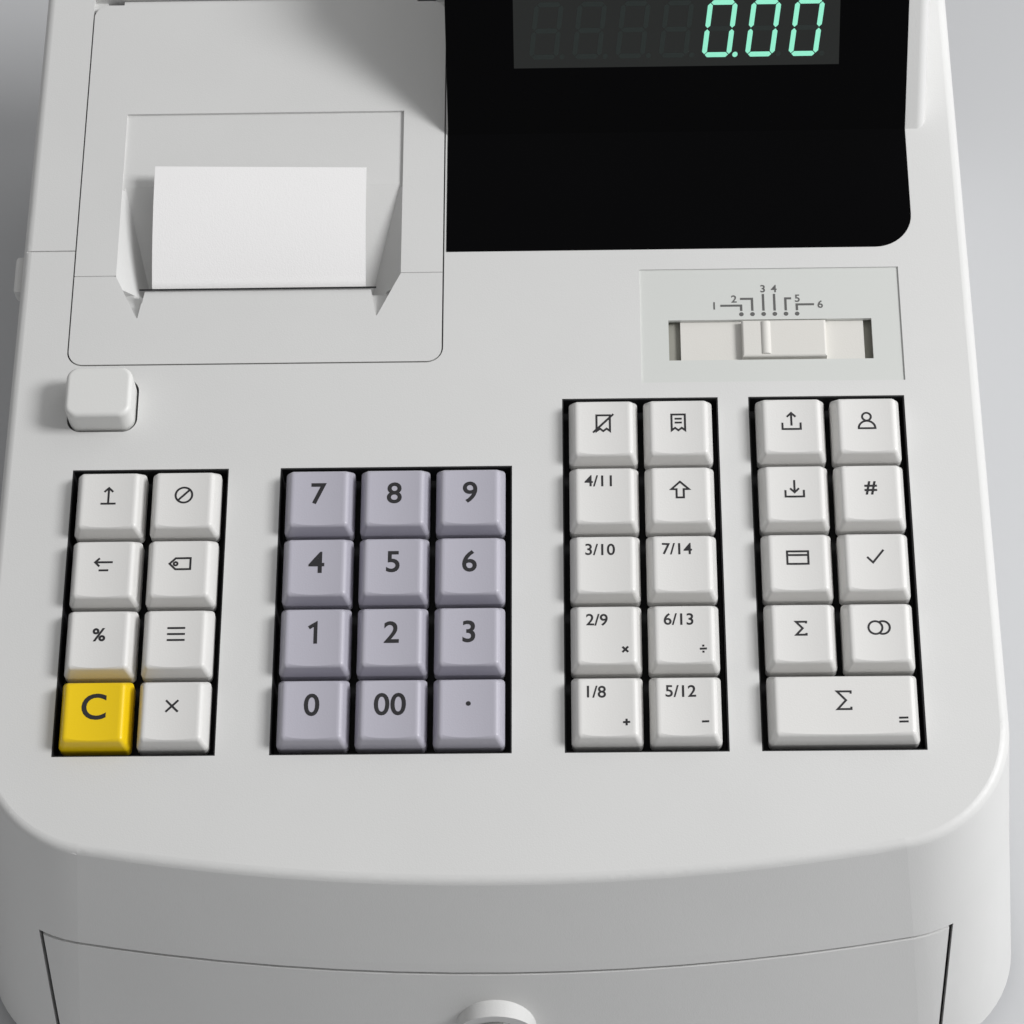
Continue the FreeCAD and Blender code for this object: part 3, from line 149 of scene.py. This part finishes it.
LCD_GLASS = finish(
    "display_glass", linear(18, 22, 20), 0.1, mottle=0.15, bump=0.01, Coat_Weight=0.6,
)
LCD_LIT = finish(
    "display_segment", linear(150, 226, 200), 0.4, mottle=0.05, mottle_size=0.002,
    Emission_Color=(*linear(120, 230, 190), 1), Emission_Strength=0.35,
)
LCD_DARK = finish("display_segment_off", linear(34, 42, 40), 0.4, mottle=0.1, mottle_size=0.002)
SCREW_STEEL = finish("screw_steel", linear(150, 150, 152), 0.35, Metallic=1.0)
FLOOR_PAINT = finish(
    "floor_paint", linear(192, 193, 195), 0.9, mottle=0.01, mottle_size=0.3, bump=0.02,
)

for entry in frame["record"]["subparts"]:
    mesh = NODES[entry["node"]].data
    mesh.materials.clear()
    mesh.materials.append(FINISHES[entry["material_slot"]])


# Flat marks: strokes and figures that lie on a surface

MARK_TOP, MARK_BOTTOM = 0.06 * MM, -0.12 * MM
# The least cosine of half a turn that a stroke's mitre is drawn for
MITRE_LIMIT = 0.4
# Corners nearer than this, in metres, become one
MERGE_DISTANCE = 1e-7


def level(height):
    """A surface of one height, for marks that lie on a flat face."""
    return lambda x, y: height


def rectangle(left, front, right, rear):
    """The corners of a rectangle, anticlockwise from the front left one."""
    return [(left, front), (right, front), (right, rear), (left, rear)]


def band(shape, first, second):
    """Join two closed rings of equal count with faces, and return the faces."""
    count = len(first)
    faces = []
    for i in range(count):
        j = (i + 1) % count
        faces.append(shape.faces.new((first[i], first[j], second[j], second[i])))
    return faces


def stroke(points, width, closed=False):
    """A line of one width through 2-D points, as pairs of its edge points, with mitred corners."""
    count = len(points)
    pairs = []
    for i, point in enumerate(points):
        here = Vector(point)
        before = Vector(points[i - 1]) if closed or i > 0 else None
        after = Vector(points[(i + 1) % count]) if closed or i < count - 1 else None
        ways = [
            way.normalized() for way in (
                here - before if before is not None else None,
                after - here if after is not None else None,
            ) if way is not None
        ]
        middle = sum(ways, Vector((0, 0))).normalized()
        side = Vector((-middle.y, middle.x))
        reach = width / 2 / max(MITRE_LIMIT, side.dot(Vector((-ways[0].y, ways[0].x))))
        pairs.append((here + side * reach, here - side * reach))
    return pairs, closed


def arc(x, y, radius, start, end, steps):
    """Points on a circle, with the angles in degrees."""
    angles = [math.radians(start + (end - start) * i / steps) for i in range(steps + 1)]
    return [(x + radius * math.cos(a), y + radius * math.sin(a)) for a in angles]


def disc(x, y, radius, steps):
    """The corners of a round outline."""
    return arc(x, y, radius, 0, 360, steps)[:-1]


def add_stroke(shape, pairs, closed, lift):
    """Add a stroke to a mesh as a thin solid. lift gives the surface's height at a point."""
    corners = []
    for left, right in pairs:
        section = (
            (left, MARK_TOP), (right, MARK_TOP), (right, MARK_BOTTOM), (left, MARK_BOTTOM),
        )
        corners.append([shape.verts.new((p.x, p.y, lift(p.x, p.y) + z)) for p, z in section])
    spans = list(zip(corners, corners[1:])) + ([(corners[-1], corners[0])] if closed else [])
    for a, b in spans:
        band(shape, a, b)
    if not closed:
        shape.faces.new(corners[0][::-1])
        shape.faces.new(corners[-1])


def add_polygon(shape, points, lift):
    """Add a filled outline to a mesh as a thin solid."""
    top = [shape.verts.new((x, y, lift(x, y) + MARK_TOP)) for x, y in points]
    bottom = [shape.verts.new((x, y, lift(x, y) + MARK_BOTTOM)) for x, y in points]
    shape.faces.new(top)
    shape.faces.new(bottom[::-1])
    band(shape, bottom, top)


# The share of a font's size that its figures are high, and the steps in their curves
FIGURE_SHARE, FIGURE_CURVE_STEPS = 0.72, 5


def add_text(shape, words, height, x, y, lift, align=0.5, bold=0.0):
    """Add figures of one height, centred on y, with align telling which share lies left of x."""
    curve = bpy.data.curves.new("figures", "FONT")
    curve.body = words
    curve.size = height / FIGURE_SHARE
    curve.offset = bold
    curve.resolution_u = FIGURE_CURVE_STEPS
    curve.extrude = (MARK_TOP - MARK_BOTTOM) / 2
    holder = bpy.data.objects.new("figures", curve)
    bpy.context.scene.collection.objects.link(holder)
    found = holder.evaluated_get(bpy.context.evaluated_depsgraph_get())
    mesh = bpy.data.meshes.new_from_object(found)
    xs = [v.co.x for v in mesh.vertices]
    ys = [v.co.y for v in mesh.vertices]
    shift_x = x - (min(xs) + (max(xs) - min(xs)) * align)
    shift_y = y - (min(ys) + max(ys)) / 2
    for v in mesh.vertices:
        px, py = v.co.x + shift_x, v.co.y + shift_y
        v.co = (px, py, lift(px, py) + (MARK_TOP if v.co.z > 0 else MARK_BOTTOM))
    shape.from_mesh(mesh)
    bpy.data.objects.remove(holder)
    bpy.data.curves.remove(curve)
    bpy.data.meshes.remove(mesh)


def piece(name, shape, material, body, place=DECK):
    """Turn a bmesh drawn in a local frame into a piece that rides on a body."""
    bmesh.ops.remove_doubles(shape, verts=shape.verts, dist=MERGE_DISTANCE)
    bmesh.ops.recalc_face_normals(shape, faces=shape.faces)
    mesh = bpy.data.meshes.new(name)
    shape.to_mesh(mesh)
    shape.free()
    mesh.transform(place)
    mesh.materials.append(material)
    item = bpy.data.objects.new(name, mesh)
    bpy.context.scene.collection.objects.link(item)
    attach(item, body)
    return item


def flat_piece(name, points, height, material, body, place=DECK):
    """A piece that is one filled outline at one height."""
    shape = bmesh.new()
    add_polygon(shape, points, level(height))
    piece(name, shape, material, body, place)


# Key legends. Words are left out: a figure or a plain sign stands in each one's place.

CAP_SIDE_TAPER, CAP_EDGE_RADIUS, DISH_DEPTH = 1.4 * MM, 1.2 * MM, 0.35 * MM
LINE, FIGURE_LINE = 0.5 * MM, 0.9 * MM
CIRCLE_STEPS, POINT_STEPS = 24, 16


def sign(*strokes, width=LINE):
    """Strokes drawn in millimetres, as (points, closed) pairs."""
    return [
        stroke([(x * MM, y * MM) for x, y in points], width, closed) for points, closed in strokes
    ]


def line(x1, y1, x2, y2):
    """One straight stroke, in millimetres like all that follow."""
    return ([(x1, y1), (x2, y2)], False)


def cross(half):
    """Two strokes that cross on the slant."""
    return [line(-half, -half, half, half), line(-half, half, half, -half)]


def twin_lines(half, rise):
    """Two level strokes, one above the middle and one as far below it."""
    return [line(-half, rise, half, rise), line(-half, -rise, half, -rise)]


def arrow(x, y, dx, dy, head=1.1):
    """An arrow's shaft and head."""
    tip = (x + dx, y + dy)
    length = math.hypot(dx, dy)
    ux, uy = dx / length, dy / length
    left = (tip[0] - head * (ux - uy), tip[1] - head * (uy + ux))
    right = (tip[0] - head * (ux + uy), tip[1] - head * (uy - ux))
    return [([(x, y), tip], False), ([left, tip, right], False)]


def box_line(x1, y1, x2, y2):
    """A rectangle's outline."""
    return (rectangle(x1, y1, x2, y2), True)


def circle(x, y, radius):
    """A circle's outline."""
    return (disc(x, y, radius, CIRCLE_STEPS), True)


RECEIPT = ([
    (-1.7, 2.3), (1.7, 2.3), (1.7, -2.2), (0.85, -1.5), (0, -2.2), (-0.85, -1.5), (-1.7, -2.2),
], True)
SIGMA = ([
    (1.7, 1.7), (1.7, 2.3), (-1.6, 2.3), (0.5, 0), (-1.6, -2.3), (1.7, -2.3), (1.7, -1.7),
], False)
SMALL_SIGMA_SHARE = 0.75
PRICE_TAG = ([(-2.6, 0), (-1.1, 1.5), (2.6, 1.5), (2.6, -1.5), (-1.1, -1.5)], True)
TRAY = ([(-2.3, -0.4), (-2.3, -2.2), (2.3, -2.2), (2.3, -0.4)], False)
UP_ARROW = ([
    (0, 2.3), (2.2, 0.2), (0.9, 0.2), (0.9, -2.1), (-0.9, -2.1), (-0.9, 0.2), (-2.2, 0.2),
], True)
SIGNS = {
    "feed": sign(*arrow(0, -2.2, 0, 4.4), line(-1.9, -2.2, 1.9, -2.2)),
    "void": sign(circle(0, 0, 2.1), line(-1.48, -1.48, 1.48, 1.48)),
    "refund": sign(*arrow(2.2, 0.6, -4.4, 0), line(-1.2, -1.6, 1.2, -1.6)),
    "price": sign(PRICE_TAG, circle(-1.1, 0, 0.45)),
    "lookup": sign(*[line(-2.2, y, 2.2, y) for y in (1.6, 0, -1.6)]),
    "receipt_off": sign(RECEIPT, line(-2.6, -2.6, 2.6, 2.6)),
    "receipt_issue": sign(RECEIPT, *[line(-0.9, y, 0.9, y) for y in (1.1, 0)]),
    "department_shift": sign(UP_ARROW),
    "paid_out": sign(*arrow(0, -1.2, 0, 3.6), TRAY),
    "received": sign(*arrow(0, 2.4, 0, -3.4), TRAY),
    "clerk": sign(circle(0, 1.1, 1.1), (arc(0, -2.2, 2.1, 0, 180, 14), True)),
    "card": sign(box_line(-2.6, -1.7, 2.6, 1.7), line(-2.6, 0.7, 2.6, 0.7)),
    "check": sign(([(-1.9, 0), (-0.5, -1.5), (2.2, 1.9)], False)),
    "subtotal": sign((
        [(x * SMALL_SIGMA_SHARE, y * SMALL_SIGMA_SHARE) for x, y in SIGMA[0]], False,
    )),
    "charge": sign(circle(-0.9, 0, 1.7), (arc(0.9, 0, 1.7, -122, 122, 20), False)),
    "total": sign(SIGMA),
    "quantity": sign(*cross(1.5)),
    "1": sign(([(-1.3, 1.35), (0.35, 2.4), (0.35, -2.9)], False), width=FIGURE_LINE),
}
FIGURE_HEIGHT, SMALL_FIGURE_HEIGHT = 5.8, 3.1
# Legends set in figures, and the height of each in millimetres
WORDS = {"percent": ("%", 3.4), "clear": ("C", 6.8), "no_sale": ("#", 3.6)}
for figure in ("0", "00", *"23456789"):
    WORDS[figure] = (figure, FIGURE_HEIGHT)
# The small arithmetic signs low on the right of some caps
BAR, UPRIGHT = line(-0.85, 0, 0.85, 0), line(0, -0.85, 0, 0.85)
CORNER_SIGNS = {
    "department_1": sign(BAR, UPRIGHT),
    "department_2": sign(*cross(0.7)),
    "department_5": sign(BAR),
    "department_6": sign(BAR, *twin_lines(0.25, 0.8)),
    "total": sign(*twin_lines(1.1, 0.5)),
}
LEGEND_RISE = 0.9 * MM
CORNER_INSET, CORNER_DROP = 2.75 * MM, 4.35 * MM
SMALL_FIGURE_INSET, SMALL_FIGURE_RISE = 2.45 * MM, 3.65 * MM
BOLD, SMALL_BOLD, POINT_RADIUS = 0.11 * MM, 0.05 * MM, 0.6 * MM
DEPARTMENTS_BEFORE_SHIFT = 7


def dish(half_width):
    """Height of a cap's top below its rim, across the cap, for one half of the top's width."""
    half = half_width - CAP_EDGE_RADIUS
    radius = (half ** 2 + DISH_DEPTH ** 2) / (2 * DISH_DEPTH)
    return lambda x, y: min(0.0, radius - DISH_DEPTH - math.sqrt(radius ** 2 - x ** 2))


def legend(node):
    """The signs and figures on one key's cap, as one piece that rides on the key."""
    name = node.removeprefix("key_")
    low, high = deck_box(node)
    shape = bmesh.new()
    half_width = (high.x - low.x) / 2 - CAP_SIDE_TAPER
    top = dish(half_width)

    def draw(strokes, x, y):
        shift = Vector((x, y))
        for pairs, closed in strokes:
            add_stroke(shape, [(a + shift, b + shift) for a, b in pairs], closed, top)

    draw(SIGNS.get(name, []), 0, LEGEND_RISE)
    draw(CORNER_SIGNS.get(name, []), half_width - CORNER_INSET, -CORNER_DROP)
    if name in WORDS:
        words, height = WORDS[name]
        add_text(shape, words, height * MM, 0, LEGEND_RISE, top, bold=BOLD)
    if name == "point":
        add_polygon(shape, disc(0, LEGEND_RISE, POINT_RADIUS, POINT_STEPS), top)
    if name.startswith("department_") and name[-1].isdigit():
        first = int(name[-1])
        words = f"{first}/{first + DEPARTMENTS_BEFORE_SHIFT}"
        add_text(
            shape, words, SMALL_FIGURE_HEIGHT * MM, SMALL_FIGURE_INSET - half_width,
            SMALL_FIGURE_RISE, top, 0, SMALL_BOLD,
        )
    middle = Vector(((low.x + high.x) / 2, (low.y + high.y) / 2, high.z))
    piece(f"legend_{name}", shape, INK, node, DECK @ Matrix.Translation(middle))


for node in sorted(NODES):
    if node.startswith("key_") and node != "key_plate":
        legend(node)


# Black liners in the key openings: painted shade on the openings' walls, which also hides the cut edge
# of the housing between the keys

KEY_PITCH, KEY_BORDER = 19.05 * MM, 0.9 * MM
LINER_GAP, LINER_WALL = 0.03 * MM, 0.3 * MM
LINER_TOP, LINER_BOTTOM = -0.2 * MM, -7.4 * MM
# For each block: its left edge in millimetres, its columns and its rows
KEY_BLOCKS = {
    "left": (-107.0, 2, 4),
    "number": (-53.9, 3, 4),
    "department": (17.9, 2, 5),
    "function": (65.6, 2, 5),
}


def liner(name, left, right, front, rear, low, high):
    """An upright collar that follows a rectangle from the inside, in black as painted shade on the
    opening's walls.
    """
    shape = bmesh.new()
    inner = LINER_GAP + LINER_WALL
    rings = []
    for inset, z in ((LINER_GAP, high), (inner, high), (inner, low), (LINER_GAP, low)):
        corners = rectangle(left + inset, front + inset, right - inset, rear - inset)
        rings.append([shape.verts.new((x, y, z)) for x, y in corners])
    for a, b in zip(rings, rings[1:] + rings[:1]):
        band(shape, a, b)
    # black here is painted shade on the walls of a key opening
    piece(name, shape, FINISHES["black_plastic"], "housing")


for name, (start, columns, rows) in KEY_BLOCKS.items():
    left = start * MM
    liner(
        f"{name}_key_shade_liner", left, left + columns * KEY_PITCH + 2 * KEY_BORDER, 0,
        rows * KEY_PITCH + 2 * KEY_BORDER, LINER_BOTTOM, LINER_TOP,
    )


# Mode switch: a darkened bed under the slider, its colour painted shade for the dark ends of the
# window, and six stops with their leader lines and numbers

BED_TOP = -2.82 * MM
BED_LEFT, BED_FRONT, BED_RIGHT, BED_REAR = 45.0 * MM, 107.0 * MM, 99.0 * MM, 121.0 * MM
# the bed's darker colour is painted shade in the ends of the slider's window
flat_piece(
    "switch_shade_bed", rectangle(BED_LEFT, BED_FRONT, BED_RIGHT, BED_REAR), BED_TOP - MARK_TOP,
    FINISHES["switch_shade_bed"], "housing",
)

PLATE_TOP = deck_box("mode_plate")[1].z
STOP_STEPS = 14
STOP_PITCH, STOP_RADIUS, LEADER, LEADER_GAP = 2.9 * MM, 0.6 * MM, 0.6 * MM, 1.0 * MM
FIRST_STOP_X, STOP_LINE = 64.75 * MM, 121.6 * MM
LABEL_HEIGHT, LABEL_GAP, LABEL_BOLD = 2.2 * MM, 1.6 * MM, 0.05 * MM
# Where each leader line ends, across and up from its own dot, in millimetres
LABELS = ((-5.4, 2.6), (-3.1, 4.6), (0, 6.0), (0, 6.0), (1.5, 4.6), (4.5, 2.75))
shape = bmesh.new()
for index, (dx, dy) in enumerate(LABELS):
    x = FIRST_STOP_X + index * STOP_PITCH
    add_polygon(shape, disc(x, STOP_LINE, STOP_RADIUS, STOP_STEPS), level(0))
    end_x, end_y = x + dx * MM, STOP_LINE + dy * MM
    path = [(x, STOP_LINE + LEADER_GAP), (x, end_y)]
    label_x, label_y = x, end_y + LABEL_GAP
    if dx:
        path.append((end_x, end_y))
        label_x, label_y = end_x + math.copysign(LABEL_GAP, dx), end_y
    add_stroke(shape, *stroke(path, LEADER), level(0))
    add_text(shape, str(index + 1), LABEL_HEIGHT, label_x, label_y, level(0), bold=LABEL_BOLD)
piece(
    "mode_marks", shape, FINISHES["plate_ink"], "housing",
    DECK @ Matrix.Translation((0, 0, PLATE_TOP)),
)


# Receipt: a sheet that comes up through the slot, bends back and arches up to its torn end

SLOT_LINE, CHUTE_MIDDLE, PAPER_WIDTH = 131.7 * MM, -61.9 * MM, 56.5 * MM
PAPER_BEND, BEND_TOP = 3.5 * MM, -1.5 * MM
PAPER_REACH, PAPER_TILT, PAPER_ARCH = 31.6 * MM, math.radians(12.0), 1.6 * MM
PAPER_TAIL, PAPER_THICKNESS = 5.0 * MM, 0.1 * MM
# The sheet is torn off a little askew
TEAR_SLANT = 1.2 * MM
BEND_STEPS, REACH_STEPS, ACROSS_STEPS = 10, 24, 12


def receipt():
    """The sheet as a closed mesh, smooth on both faces and sharp along its rim."""
    centre_y, centre_z = SLOT_LINE + PAPER_BEND, BEND_TOP - PAPER_BEND
    # For each row: its place up the slope, its height, and its share of the reach to the tear
    profile = [(SLOT_LINE, centre_z - PAPER_TAIL, 0), (SLOT_LINE, centre_z - PAPER_TAIL / 2, 0)]
    for i in range(BEND_STEPS + 1):
        angle = math.pi - (math.pi / 2 - PAPER_TILT) * i / BEND_STEPS
        y = centre_y + PAPER_BEND * math.cos(angle)
        z = centre_z + PAPER_BEND * math.sin(angle)
        profile.append((y, z, 0))
    start_y, start_z = profile[-1][:2]
    for i in range(1, REACH_STEPS + 1):
        share = i / REACH_STEPS
        along = PAPER_REACH * share
        arch = PAPER_ARCH * 4 * share * (1 - share)
        y = start_y + along * math.cos(PAPER_TILT)
        z = start_z + along * math.sin(PAPER_TILT) + arch
        profile.append((y, z, share))
    shape = bmesh.new()
    across = [j / ACROSS_STEPS - 0.5 for j in range(ACROSS_STEPS + 1)]
    sides = []
    for depth in (0, PAPER_THICKNESS):
        rows = []
        for y, z, share in profile:
            rows.append([
                shape.verts.new((
                    CHUTE_MIDDLE + PAPER_WIDTH * part, y - TEAR_SLANT * part * share, z - depth,
                )) for part in across
            ])
        sides.append(rows)
    for rows in sides:
        for a, b in zip(rows, rows[1:]):
            for j in range(ACROSS_STEPS):
                shape.faces.new((a[j], a[j + 1], b[j + 1], b[j])).smooth = True
    rims = [
        [
            *rows[0], *[row[-1] for row in rows[1:-1]], *rows[-1][::-1],
            *[row[0] for row in rows[-2:0:-1]],
        ] for rows in sides
    ]
    band(shape, *rims)
    for rim in rims:
        for a, b in zip(rim, rim[1:] + rim[:1]):
            shape.edges.get((a, b)).smooth = False
    return piece("receipt_sheet", shape, FINISHES["paper"], "cover")


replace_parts(receipt(), "receipt_paper")

# A black strip along the slot, on the cover's lip, shaped like a tear edge: painted shadow for the
# dark line of the slot
SLOT_SHADOW_LINE, SLOT_SHADOW_WIDTH, SLOT_SHADOW_HALF = 130.85 * MM, 0.45 * MM, 31.2 * MM
# painted shadow: black stands for the shade in the slot under the lip
flat_piece(
    "slot_shadow_strip", rectangle(
        CHUTE_MIDDLE - SLOT_SHADOW_HALF, SLOT_SHADOW_LINE - SLOT_SHADOW_WIDTH / 2,
        CHUTE_MIDDLE + SLOT_SHADOW_HALF, SLOT_SHADOW_LINE + SLOT_SHADOW_WIDTH / 2,
    ), 0, FINISHES["black_plastic"], "cover",
)


# Seven-segment displays in the hood: the operator's in the black panel, the customer's at the rear

ALL_SEGMENTS = "abcdefg"
# The bars that are lit in each of the figures shown
SEGMENTS = {"0": "abcdef", " ": ""}
# Shares of a figure's width or of a bar's width, and the lean in width per height
BAR_SHARE, BAR_GAP_SHARE, FIGURE_LEAN = 0.2, 0.12, 0.12
DOT_SHIFT_SHARE, DOT_RADIUS_SHARE, DOT_STEPS = 1.3, 0.55, 12
DECIMALS = 2
GLASS_MARGIN = 3.0 * MM


def segment_outline(letter, width, height, bar):
    """One bar of a seven-segment figure as a pointed hexagon."""
    half, gap = bar / 2, bar * BAR_GAP_SHARE
    ends = {
        "a": ((0, height), (width, height)), "d": ((0, 0), (width, 0)),
        "g": ((0, height / 2), (width, height / 2)), "f": ((0, height / 2), (0, height)),
        "e": ((0, 0), (0, height / 2)), "b": ((width, height / 2), (width, height)),
        "c": ((width, 0), (width, height / 2)),
    }
    (x1, y1), (x2, y2) = ends[letter]
    if y1 == y2:
        x1, x2 = x1 + gap, x2 - gap
        return [
            (x1, y1), (x1 + half, y1 + half), (x2 - half, y1 + half), (x2, y1),
            (x2 - half, y1 - half), (x1 + half, y1 - half),
        ]
    y1, y2 = y1 + gap, y2 - gap
    return [
        (x1, y1), (x1 - half, y1 + half), (x1 - half, y2 - half), (x1, y2),
        (x1 + half, y2 - half), (x1 + half, y1 + half),
    ]


def display(name, words, place, body, figure_width, figure_height, pitch):
    """A glass window with a row of figures and a decimal point, centred on the place's origin."""
    bar = figure_width * BAR_SHARE
    count = len(words)
    half_row = count * pitch / 2
    half_width, half_height = half_row + GLASS_MARGIN, figure_height / 2 + GLASS_MARGIN
    outline = rectangle(-half_width, -half_height, half_width, half_height)
    flat_piece(f"{name}_glass", outline, 0, LCD_GLASS, body, place)
    lit, dark = bmesh.new(), bmesh.new()
    above = level(MARK_TOP)

    def add_leaning(target, points, start):
        leaning = [(start + x + FIGURE_LEAN * y, y - figure_height / 2) for x, y in points]
        add_polygon(target, leaning, above)

    for index, letter in enumerate(words):
        start = (
            -half_row + index * pitch + (pitch - figure_width) / 2 - figure_height * FIGURE_LEAN / 2
        )
        for part in ALL_SEGMENTS:
            target = lit if part in SEGMENTS[letter] else dark
            add_leaning(target, segment_outline(part, figure_width, figure_height, bar), start)
        dot = disc(figure_width + bar * DOT_SHIFT_SHARE, 0, bar * DOT_RADIUS_SHARE, DOT_STEPS)
        add_leaning(lit if index == count - 1 - DECIMALS else dark, dot, start)
    piece(f"{name}_lit", lit, LCD_LIT, body, place)
    piece(f"{name}_unlit", dark, LCD_DARK, body, place)


HOOD_FRONT, HOOD_TOP_FRONT, HOOD_RISE = 178.0 * MM, 214.0 * MM, 40.0 * MM
HOOD_REAR, HOOD_TOP_REAR = 276.0 * MM, 258.0 * MM
HOOD_ANGLE = math.atan2(HOOD_RISE, HOOD_TOP_FRONT - HOOD_FRONT)
HOOD_FACE = math.hypot(HOOD_RISE, HOOD_TOP_FRONT - HOOD_FRONT)
REAR_ANGLE = math.atan2(HOOD_RISE, HOOD_REAR - HOOD_TOP_REAR)
REAR_FACE = math.hypot(HOOD_RISE, HOOD_REAR - HOOD_TOP_REAR)
PANEL_PROUD, OPERATOR_RISE_SHARE = 0.2 * MM, 0.52


def hood_place(node, foot, angle, rise):
    """A place on a sloping face of the hood, over the middle of a CAD node."""
    low, high = deck_box(node)
    return (
        DECK @ Matrix.Translation(((low.x + high.x) / 2, foot, 0))
        @ Matrix.Rotation(angle, 4, "X") @ Matrix.Translation((0, rise, PANEL_PROUD))
    )


display(
    "operator_display", "    000",
    hood_place("display_panel", HOOD_FRONT, HOOD_ANGLE, HOOD_FACE * OPERATOR_RISE_SHARE),
    "housing", figure_width=6.5 * MM, figure_height=14.0 * MM, pitch=11.5 * MM,
)
display(
    "customer_display", "   000",
    hood_place("customer_window", HOOD_REAR, -REAR_ANGLE, -REAR_FACE / 2)
    @ Matrix.Rotation(math.pi, 4, "Z"),
    "housing", figure_width=5.6 * MM, figure_height=13.0 * MM, pitch=10.5 * MM,
)


# Screws under the base

# Across and along the base, in millimetres
SCREW_PLACES = ((-90, -146), (90, -146), (-118, 60), (118, 60), (-60, 158), (60, 158))
SCREW_RADIUS, SCREW_HEIGHT, SCREW_STEPS, SCREW_SEAT = 3.4 * MM, 0.9 * MM, 24, 0.1 * MM
# The head's rings from its rim to the cross, as shares of its radius and of its height
SCREW_RINGS = ((1.0, 0.0), (0.8, 0.75), (0.45, 1.0))
# The floor in the cross's arms and between them, as shares of the radius and of the height cut away
CROSS_ARM, CROSS_BETWEEN, CROSS_HALF_ANGLE = (0.38, 0.9), (0.2, 0.25), 12


def screw_head(index, x, y, z):
    """A domed head with a cross cut into it, facing down."""
    shape = bmesh.new()
    angles = [math.tau * i / SCREW_STEPS for i in range(SCREW_STEPS)]

    def corner(angle, radius, height):
        return shape.verts.new((radius * math.cos(angle), radius * math.sin(angle), height))

    rings = []
    for share, depth in SCREW_RINGS:
        rings.append([corner(a, SCREW_RADIUS * share, -depth * SCREW_HEIGHT) for a in angles])
    for a, b in zip(rings, rings[1:]):
        for face in band(shape, a, b):
            face.smooth = True
    floor = []
    for a in angles:
        spread = abs(((math.degrees(a) + 45) % 90) - 45)
        share, sunk = CROSS_BETWEEN if spread > CROSS_HALF_ANGLE else CROSS_ARM
        floor.append(corner(a, SCREW_RADIUS * share, -(1 - sunk) * SCREW_HEIGHT))
    band(shape, rings[-1], floor)
    shape.faces.new(floor)
    piece(
        f"base_screw_{index}", shape, SCREW_STEEL, "housing",
        Matrix.Translation((x * MM, y * MM, z)),
    )


base_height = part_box("base_cabinet")[0].z
for index, (x, y) in enumerate(SCREW_PLACES, start=1):
    screw_head(index, x, y, base_height + SCREW_SEAT)


# Floor, lamps, background and camera

FLOOR_HALF = 6.0
LAMP_TARGET = (0, 0, 0.08)
# Each lamp's name, place, width and power, in metres and watts
LAMPS = (
    ("key_lamp", (1.2, -0.2, 1.12), 0.45, 21.0),
    ("side_lamp", (1.2, 0.5, 1.3), 1.6, 5.0),
)
BACKGROUND_STRENGTH = 0.32
# The camera's lens and sensor in millimetres, and its place and turns in the deck's frame
SENSOR_WIDTH, LENS = 36.0, 99.877
CLIP_START = 10 * MM
CAMERA_PLACE = Vector((22.0, -246.54, 644.84)) * MM
CAMERA_TURNS = (("X", 25.7797), ("Y", 1.3561), ("Z", -0.5882))


def studio():
    """The floor, one plain sheet under the part."""
    shape = bmesh.new()
    outline = rectangle(-FLOOR_HALF, -FLOOR_HALF, FLOOR_HALF, FLOOR_HALF)
    shape.faces.new([shape.verts.new((x, y, 0)) for x, y in outline])
    mesh = bpy.data.meshes.new("floor")
    shape.to_mesh(mesh)
    shape.free()
    mesh.materials.append(FLOOR_PAINT)
    floor = bpy.data.objects.new("floor", mesh)
    bpy.context.scene.collection.objects.link(floor)


def lamp(name, place, size, power):
    """A square lamp that faces the part."""
    data = bpy.data.lights.new(name, "AREA")
    data.shape = "SQUARE"
    data.size = size
    data.energy = power
    item = bpy.data.objects.new(name, data)
    item.location = place
    item.rotation_mode = "QUATERNION"
    item.rotation_quaternion = (Vector(LAMP_TARGET) - Vector(place)).to_track_quat("-Z", "Y")
    bpy.context.scene.collection.objects.link(item)


def background():
    """White light from all round."""
    world = bpy.data.worlds.new("studio")
    bpy.context.scene.world = world
    world.use_nodes = True
    shade = world.node_tree.nodes["Background"]
    shade.inputs["Color"].default_value = (1, 1, 1, 1)
    shade.inputs["Strength"].default_value = BACKGROUND_STRENGTH


def photo_camera():
    """The photograph's camera, solved from the straight edges of the four key openings."""
    data = bpy.data.cameras.new("photo_camera")
    data.sensor_width = SENSOR_WIDTH
    data.lens = LENS
    data.clip_start = CLIP_START
    item = bpy.data.objects.new("photo_camera", data)
    turn = Matrix()
    for axis, degrees in CAMERA_TURNS:
        turn = turn @ Matrix.Rotation(math.radians(degrees), 4, axis)
    item.matrix_world = DECK @ Matrix.Translation(CAMERA_PLACE) @ turn
    bpy.context.scene.collection.objects.link(item)
    bpy.context.scene.camera = item


studio()
for entry in LAMPS:
    lamp(*entry)
background()
photo_camera()
bpy.context.scene.view_settings.view_transform = "Standard"
